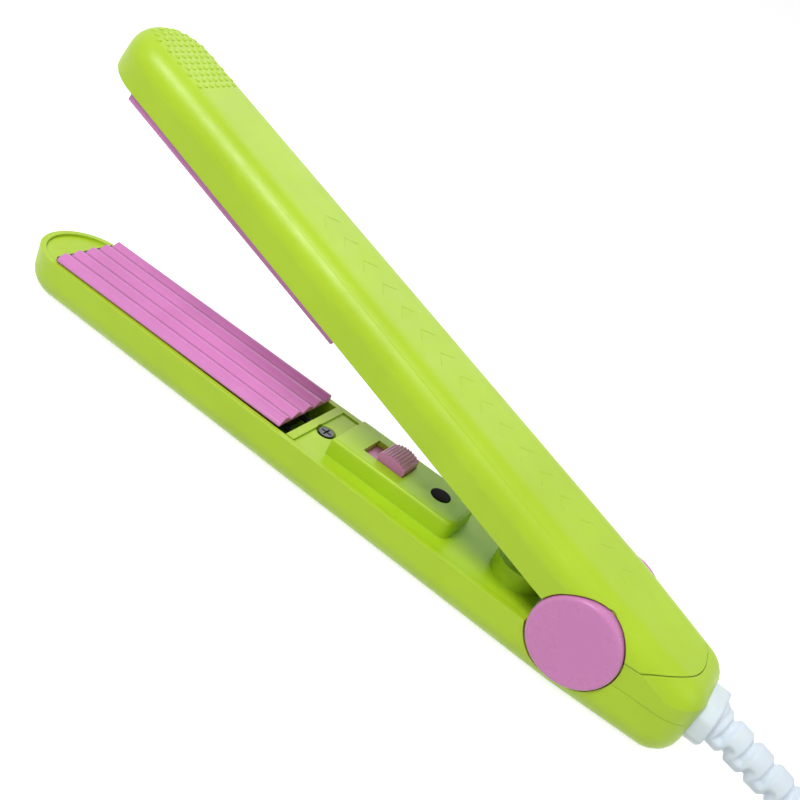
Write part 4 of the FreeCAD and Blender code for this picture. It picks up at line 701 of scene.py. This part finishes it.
class Skin:
    """Smooth surfaces laid over rows of rings, gathered into one piece."""

    def __init__(self) -> None:
        """Start with nothing."""
        self.mesh = bmesh.new()

    def loft(self, rings: list[list[Vector]]) -> None:
        """Lay a closed surface over rings, with a flat cap at each end.

        Args:
            rings: Rings of equally many points in millimetres, from one end to the other.
        """
        rows = [[self.mesh.verts.new(point * MM) for point in ring] for ring in rings]
        count = len(rows[0])
        for before, after in zip(rows, rows[1:]):
            for index in range(count):
                follow = (index + 1) % count
                self.mesh.faces.new((before[index], before[follow], after[follow], after[index]))
        self.mesh.faces.new(list(reversed(rows[0])))
        self.mesh.faces.new(rows[-1])

    def piece(self, name: str, paints: Paints, slot: str, body: Body,
              sharp: float = 50.0) -> bpy.types.Object:
        """Make the piece.

        Args:
            name: The piece's name.
            paints: The object's finishes.
            slot: The finish to wear.
            body: The body to ride on.
            sharp: The angle in degrees above which an edge stays sharp.

        Returns:
            The new object.
        """
        bmesh.ops.recalc_face_normals(self.mesh, faces=self.mesh.faces)
        for face in self.mesh.faces:
            face.smooth = True
        data = bpy.data.meshes.new(name)
        self.mesh.to_mesh(data)
        self.mesh.free()
        data.set_sharp_from_angle(angle=math.radians(sharp))
        made = bpy.data.objects.new(name, data)
        bpy.context.scene.collection.objects.link(made)
        paints.dress(made, slot)
        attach(made, body.value)
        LOG.info("%s has %d faces", name, len(data.polygons))
        return made


def smooth_step(value: float, low: float, high: float) -> float:
    """A smooth step from 0 at low to 1 at high."""
    share = min(max((value - low) / (high - low), 0.0), 1.0)
    return share * share * (3 - 2 * share)


def circle(centre: Vector, across: Vector, up: Vector, radii: list[float]) -> list[Vector]:
    """A ring round a centre.

    Args:
        centre: The ring's middle.
        across: The ring's first direction.
        up: Its second direction.
        radii: The radius at each of the equally spaced points.

    Returns:
        The ring's points.
    """
    step = 2 * math.pi / len(radii)
    return [centre + (across * math.cos(step * i) + up * math.sin(step * i)) * radius
            for i, radius in enumerate(radii)]


def dome(radius: float, rise: float, steps: int, flat: float) -> list[tuple[float, float]]:
    """The half section of a low dome.

    Args:
        radius: The dome's radius at its foot.
        rise: Its height.
        steps: How many rings stand over the foot's.
        flat: How far the last ring stays from the top, as a share of a step.

    Returns:
        Each ring's height and radius, from the foot up.
    """
    turns = [math.pi / 2 * step / (steps + flat) for step in range(steps + 1)]
    return [(rise * math.sin(turn), radius * math.cos(turn)) for turn in turns]


@dataclass
class StrainRelief:
    """The white eight-sided block and its slotted sleeve, with rounded lips at each slot."""

    half_width: float = 5.7
    foot: float = 4.5
    head: float = 13.8
    chamfer: float = 2.4
    corner: float = 0.55
    corner_pull: float = 0.22
    flange: tuple[float, float] = (77.3, 78.9)
    flange_grow: float = 0.9
    flange_top: float = 12.4
    flange_bevel: float = 0.3
    flange_back: float = 0.05
    face: float = 84.2
    # How far in from the block's outline, and how far back from its face, its rounded edge runs.
    face_edge: tuple[tuple[float, float], ...] = (
        (0.0, 0.8), (0.05, 0.5), (0.18, 0.22), (0.45, 0.06), (0.8, 0.0))
    root: Vector = spot(83.0, 0.0, 9.3)
    end: Vector = spot(105.4, 0.0, 3.9)
    wide: float = 3.75
    narrow: float = 3.3
    flare: float = 0.4
    flare_span: tuple[float, float] = (0.6, 1.8)
    lip: float = 0.7
    lip_past: float = 0.25
    core: float = 2.62
    first_slot: float = 3.4
    pitch: float = 2.45
    slots: int = 8
    slot_half: float = 1.2
    slot_wall: float = 0.85
    slot_ends: tuple[float, float] = (-1.3, 0.3)
    step: float = 0.14
    sides: int = 96

    def octagon(self, x: float, grow: float, top: float | None = None) -> list[Vector]:
        """The block's outline at one place, with eased corners.

        Args:
            x: The place along the arm.
            grow: How far the outline stands out from the block's.
            top: A height that the outline stays under.

        Returns:
            The outline's points.
        """
        side = self.half_width + grow
        low, high = self.foot - grow, self.head + grow
        cut = self.chamfer + grow * (2 - math.sqrt(2))
        outline = [(side, low + cut), (side, high - cut), (side - cut, high), (cut - side, high),
                   (-side, high - cut), (-side, low + cut), (cut - side, low), (side - cut, low)]
        corners = [Vector((x, y, z)) for y, z in outline]
        points = []
        for index, corner in enumerate(corners):
            before = (corners[index - 1] - corner).normalized() * self.corner
            after = (corners[(index + 1) % len(corners)] - corner).normalized() * self.corner
            points += [corner + before, corner + (before + after) * self.corner_pull, corner + after]
        for point in points:
            point.z = min(point.z, top or point.z)
        return points

    def block(self) -> list[list[Vector]]:
        """Outlines of the flange and the block, from inside the tail to the outer face."""
        start, end = self.flange
        grow, top, bevel = self.flange_grow, self.flange_top, self.flange_bevel
        rings = [self.octagon(start, grow - bevel, top - bevel), self.octagon(start + bevel, grow, top),
                 self.octagon(end, grow, top), self.octagon(end + self.flange_back, 0.0)]
        return rings + [self.octagon(self.face - back, -inset) for inset, back in self.face_edge]

    def radius(self, along: float, length: float, height: float) -> float:
        """The sleeve's radius at one place.

        Args:
            along: Distance from the sleeve's root.
            length: The sleeve's length.
            height: The sine of the angle round the sleeve, 1 at its top.

        Returns:
            The radius in millimetres.
        """
        full = self.wide + (self.narrow - self.wide) * along / length
        full += self.flare * (1 - smooth_step(along, *self.flare_span)) ** 2
        worn = smooth_step(along, length - self.lip, length + self.lip_past)
        for number in range(self.slots):
            near = 1 - abs(along - self.first_slot - self.pitch * number) / self.slot_half
            rise = height * self.wide * (1 if number % 2 == 0 else -1)
            worn = max(worn, smooth_step(near, 0.0, self.slot_wall) * smooth_step(rise, *self.slot_ends))
        return full - (full - self.core) * worn

    def sleeve(self) -> list[list[Vector]]:
        """Rings of the sleeve, from inside the block to its end."""
        way = self.end - self.root
        length = way.length
        way.normalize()
        across = Vector((0, 1, 0))
        up = way.cross(across)
        up = up if up.z > 0 else -up
        heights = [math.sin(2 * math.pi * i / self.sides) for i in range(self.sides)]
        rings = []
        for index in range(int(length / self.step) + 1):
            along = min(index * self.step, length)
            radii = [self.radius(along, length, height) for height in heights]
            rings.append(circle(self.root + way * along, across, up, radii))
        rings.append(circle(self.end, across, up, [self.core] * self.sides))
        return rings

    def build(self, paints: Paints) -> None:
        """Make the piece in place of its CAD form."""
        skin = Skin()
        skin.loft(self.block())
        skin.loft(self.sleeve())
        made = skin.piece("relief_sleeve", paints, "white_plastic", Body.LOWER)
        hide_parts("strain_relief")


@dataclass
class OpeningSpring:
    """The coil spring between the arms, with closed end turns."""

    foot: Vector = spot(41.4, 0.0, 8.45)
    opening: float = 17.3
    length: float = 12.8
    radius: float = 2.8
    wire: float = 0.4
    turns: float = 7.5
    closed: float = 1.25
    closed_pitch: float = 2.1
    blend: float = 0.6
    blend_share: float = 0.35
    per_turn: int = 28
    sides: int = 12
    nudge: float = 0.002
    way: Vector = spot(0.286, 0.0, 0.958)
    kept: float = 0.53

    def middle(self, along: float) -> tuple[Vector, Vector]:
        """The bent axis at one place, and its direction."""
        angle = math.radians(self.opening) * along / self.length
        bend = self.length / math.radians(self.opening)
        place = self.foot + Vector((bend * (1 - math.cos(angle)), 0, bend * math.sin(angle)))
        return place, Vector((math.sin(angle), 0, math.cos(angle)))

    def height(self, turn: float) -> float:
        """How far along the axis the wire is after some turns."""
        tight = self.closed_pitch * self.wire
        rise = self.length - 2 * self.wire - 2 * self.closed * tight
        open_turns = self.turns - 2 * self.closed
        slow = self.closed * self.blend
        even = min(max((turn - self.closed) / open_turns, 0.0), 1.0)
        share = even + self.blend_share * (smooth_step(turn, slow, self.turns - slow) - even)
        ends = min(turn, self.closed) + max(turn - self.turns + self.closed, 0.0)
        return self.wire + ends * tight + rise * share

    def point(self, turn: float) -> Vector:
        """The wire's middle after some turns."""
        centre, way = self.middle(self.height(turn))
        side = Vector((0, 1, 0))
        angle = 2 * math.pi * turn
        return centre + (way.cross(side) * math.cos(angle) + side * math.sin(angle)) * self.radius

    def build(self, paints: Paints) -> None:
        """Make the spring in place of its CAD form."""
        rings = []
        for index in range(int(self.turns * self.per_turn) + 1):
            turn = index / self.per_turn
            here = self.point(turn)
            ahead = (self.point(turn + self.nudge) - here).normalized()
            outward = (here - self.middle(self.height(turn))[0]).normalized()
            side = ahead.cross(outward).normalized()
            rings.append(circle(here, outward, side, [self.wire] * self.sides))
        skin = Skin()
        skin.loft(rings)
        made = skin.piece("coil_spring", paints, "steel", Body.LOWER)
        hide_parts("opening_spring")
        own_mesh(made)


@dataclass
class LampWindow:
    """The smoked window that closes the lamp's hole and lies on the platform with its rim."""

    place: Vector = spot(21.2, 0.0, 13.3)
    radius: float = 2.1
    stem: float = 1.62
    depth: float = 1.3
    lip: float = 0.05
    crown: float = 0.1
    sides: int = 48
    steps: int = 6
    flat: float = 0.5

    def build(self, paints: Paints) -> None:
        """Make the window with its domed top."""
        rises = [(-self.depth, self.stem), (0.0, self.stem), (0.0, self.radius)]
        rises += [(self.lip + rise, radius)
                  for rise, radius in dome(self.radius, self.crown, self.steps, self.flat)]
        across, up = Vector((1, 0, 0)), Vector((0, 1, 0))
        skin = Skin()
        skin.loft([circle(self.place + Vector((0, 0, rise)), across, up, [radius] * self.sides)
                   for rise, radius in rises])
        skin.piece("lamp_window", paints, "lamp_lens", Body.LOWER)


@dataclass(frozen=True)
class UpperBack:
    """The upper arm's back as the ground that small relief stands on."""

    hinge: Vector = spot(57.0, 0.0, 12.0)
    middle: float = 11.3
    opening: float = 17.3
    clear: float = 40.0

    def placing(self) -> Matrix:
        """The turn and shift from a piece of the lower arm to its twin on the upper arm, at rest."""
        swing = Matrix.Rotation(math.radians(self.opening), 4, "Y")
        over = Matrix.Translation((0, 0, 2 * self.middle)) @ Matrix.Rotation(math.pi, 4, "X")
        return Matrix.Translation(self.hinge) @ swing @ Matrix.Translation(-self.hinge) @ over

    def outward(self) -> Vector:
        """The direction away from the back."""
        tilt = math.radians(self.opening)
        return Vector((math.sin(tilt), 0, math.cos(tilt)))

    def forward(self) -> Vector:
        """The direction along the back towards the nose."""
        tilt = math.radians(self.opening)
        return Vector((-math.cos(tilt), 0, math.sin(tilt)))

    def ground(self, ahead: float, y: float) -> tuple[Vector, Vector] | None:
        """Find the skin over one place.

        Args:
            ahead: Distance from the hinge towards the nose.
            y: Distance from the arm's middle.

        Returns:
            The place and the skin's direction, or nothing where the ray misses.
        """
        shell = frame["nodes"]["upper_housing"]
        start = self.hinge + self.forward() * ahead + self.outward() * self.clear
        start += Vector((0, y, 0))
        inverse = shell.matrix_world.inverted()
        hit, place, normal, _ = shell.ray_cast(inverse @ (start * MM), inverse.to_3x3() @ -self.outward())
        return (shell.matrix_world @ place / MM, normal) if hit else None


@dataclass
class GripDots:
    """Rows of low domes on the back of the upper arm's nose."""

    reach: tuple[float, float] = (121.0, 137.6)
    half_width: float = 6.4
    pitch: float = 1.75
    radius: float = 0.52
    root: float = 0.12
    rise: float = 0.2
    level: float = 0.8
    sides: int = 14
    steps: int = 4
    flat: float = 0.4

    def dot(self, place: Vector, normal: Vector) -> list[list[Vector]]:
        """Rings of one dome that stands on the skin.

        Args:
            place: The dome's middle on the skin.
            normal: The skin's direction there.

        Returns:
            Rings from under the skin to the dome's top.
        """
        across = normal.orthogonal().normalized()
        up = normal.cross(across)
        rises = [(-self.root, self.radius), *dome(self.radius, self.rise, self.steps, self.flat)]
        return [circle(place + normal * rise, across, up, [radius] * self.sides)
                for rise, radius in rises]

    def build(self, paints: Paints) -> None:
        """Find each dome's place on the upper housing and make them all as one piece."""
        back = UpperBack()
        skin = Skin()
        start, end = self.reach
        row_gap = self.pitch * math.sqrt(3) / 2
        columns = int(self.half_width / self.pitch)
        for row in range(int((end - start) / row_gap) + 1):
            for column in range(-columns, columns + 1):
                y = (column + 0.5 * (row % 2)) * self.pitch
                found = back.ground(start + row * row_gap, y)
                if found and found[1].dot(back.outward()) > self.level and abs(y) <= self.half_width:
                    skin.loft(self.dot(*found))
        skin.piece("nose_grip", paints, "green_plastic", Body.UPPER)


@dataclass
class BackMarks:
    """A row of faint chevrons along the middle of the upper arm's back."""

    first: float = 4.0
    last: float = 92.0
    pitch: float = 5.6
    half_width: float = 2.6
    lean: float = 2.2
    width: float = 0.3
    taper: float = 0.75
    taper_margin: float = 0.08
    root: float = 0.1
    rise: float = 0.045
    shoulder: tuple[float, float] = (0.5, 0.8)
    steps: int = 8

    def chevron(self, back: UpperBack, ahead: float) -> list[list[Vector]]:
        """Rings of one chevron, from its near end over its point to its far end.

        Args:
            back: The ground to stand on.
            ahead: Where the chevron's point is.

        Returns:
            The rings.
        """
        along = back.forward()
        rings = []
        for step in range(-self.steps, self.steps + 1):
            share = abs(step) / self.steps
            place, normal = back.ground(ahead - self.lean * share, self.half_width * step / self.steps)
            arc = math.pi * (self.taper_margin + (1 - 2 * self.taper_margin) * share)
            size = self.width * (1 - self.taper + self.taper * math.sin(arc))
            wide, high = size * self.shoulder[0], self.rise * self.shoulder[1]
            section = ((-size, -self.root), (-wide, high), (0.0, self.rise), (wide, high),
                       (size, -self.root))
            rings.append([place + along * x + normal * z for x, z in section])
        return rings

    def build(self, paints: Paints) -> None:
        """Make the chevrons as one piece."""
        back = UpperBack()
        skin = Skin()
        for number in range(int((self.last - self.first) / self.pitch) + 1):
            skin.loft(self.chevron(back, self.first + number * self.pitch))
        skin.piece("back_marks", paints, "green_plastic", Body.UPPER)


@dataclass
class HeatingPlate:
    """A thin ridged sheet, its edges turned down over the holder."""

    ends: tuple[float, float] = (-72.6, -11.2)
    half_width: float = 9.1
    crest: float = 11.53
    depth: float = 0.8
    ridges: float = 4.5
    groove_depth: float = 0.42
    groove_reach: float = 0.2
    edge_width: float = 0.6
    edge_steps: int = 9
    foot: float = 9.97
    belly: float = 0.1
    bevel: float = 0.12
    steps: int = 240
    spans: int = 12
    sharp: float = 35.0

    def height(self, y: float) -> float:
        """The top's height: soft ridges, and a narrow groove along the foot of each."""
        phase = (self.half_width - y) / (2 * self.half_width) * self.ridges
        wave = 0.5 + 0.5 * math.cos(2 * math.pi * phase)
        off = (phase - math.floor(phase) - 0.5) * 2 * self.half_width / self.ridges
        notch = self.groove_depth * math.exp(-(off / self.groove_reach) ** 2)
        return self.crest - self.depth * (1 - wave) - notch

    def profile(self, inset: float) -> list[Vector]:
        """The sheet's cross-section, far edge first along the top.

        Args:
            inset: How far the outline stays inside its full size.

        Returns:
            Points with X at zero.
        """
        half = self.half_width - inset
        inner, foot = half - self.edge_width, self.foot + inset
        top, under = [], []
        for step in range(self.steps + 1):
            y = half - 2 * half * step / self.steps
            top.append(Vector((0, y, self.height(y) - inset)))
            if self.edge_steps <= step <= self.steps - self.edge_steps:
                under.append(Vector((0, y, foot + self.belly)))
        near = [Vector((0, -half, foot)), Vector((0, -inner, foot))]
        far = [Vector((0, inner, foot)), Vector((0, half, foot))]
        return top + near + under[::-1] + far

    def build(self, paints: Paints) -> None:
        """Make both plates, the upper one turned over."""
        start, end = self.ends
        stations = [(start, self.bevel), (start + self.bevel, 0.0)]
        stations += [(start + (end - start) * share / self.spans, 0.0) for share in range(1, self.spans)]
        stations += [(end - self.bevel, 0.0), (end, self.bevel)]
        for arm, body, place in (("lower", Body.LOWER, Matrix.Identity(4)),
                                 ("upper", Body.UPPER, UpperBack().placing())):
            skin = Skin()
            skin.loft([[place @ (point + Vector((x, 0, 0))) for point in self.profile(inset)]
                       for x, inset in stations])
            made = skin.piece(f"{arm}_ridged_sheet", paints, "pink_coating", body, self.sharp)
            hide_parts(f"{arm}_heating_plate")


def main() -> None:
    """Build every piece."""
    logging.basicConfig(level=logging.INFO)
    Studio().build()
    paints = Paints()
    paints.dress_frame()
    for piece in (Lead(), StrainRelief(), OpeningSpring(), LampWindow(), HeatingPlate(), GripDots(),
                  BackMarks()):
        piece.build(paints)
    bpy.context.scene.view_settings.view_transform = "Standard"


if __name__ == "__main__":
    main()
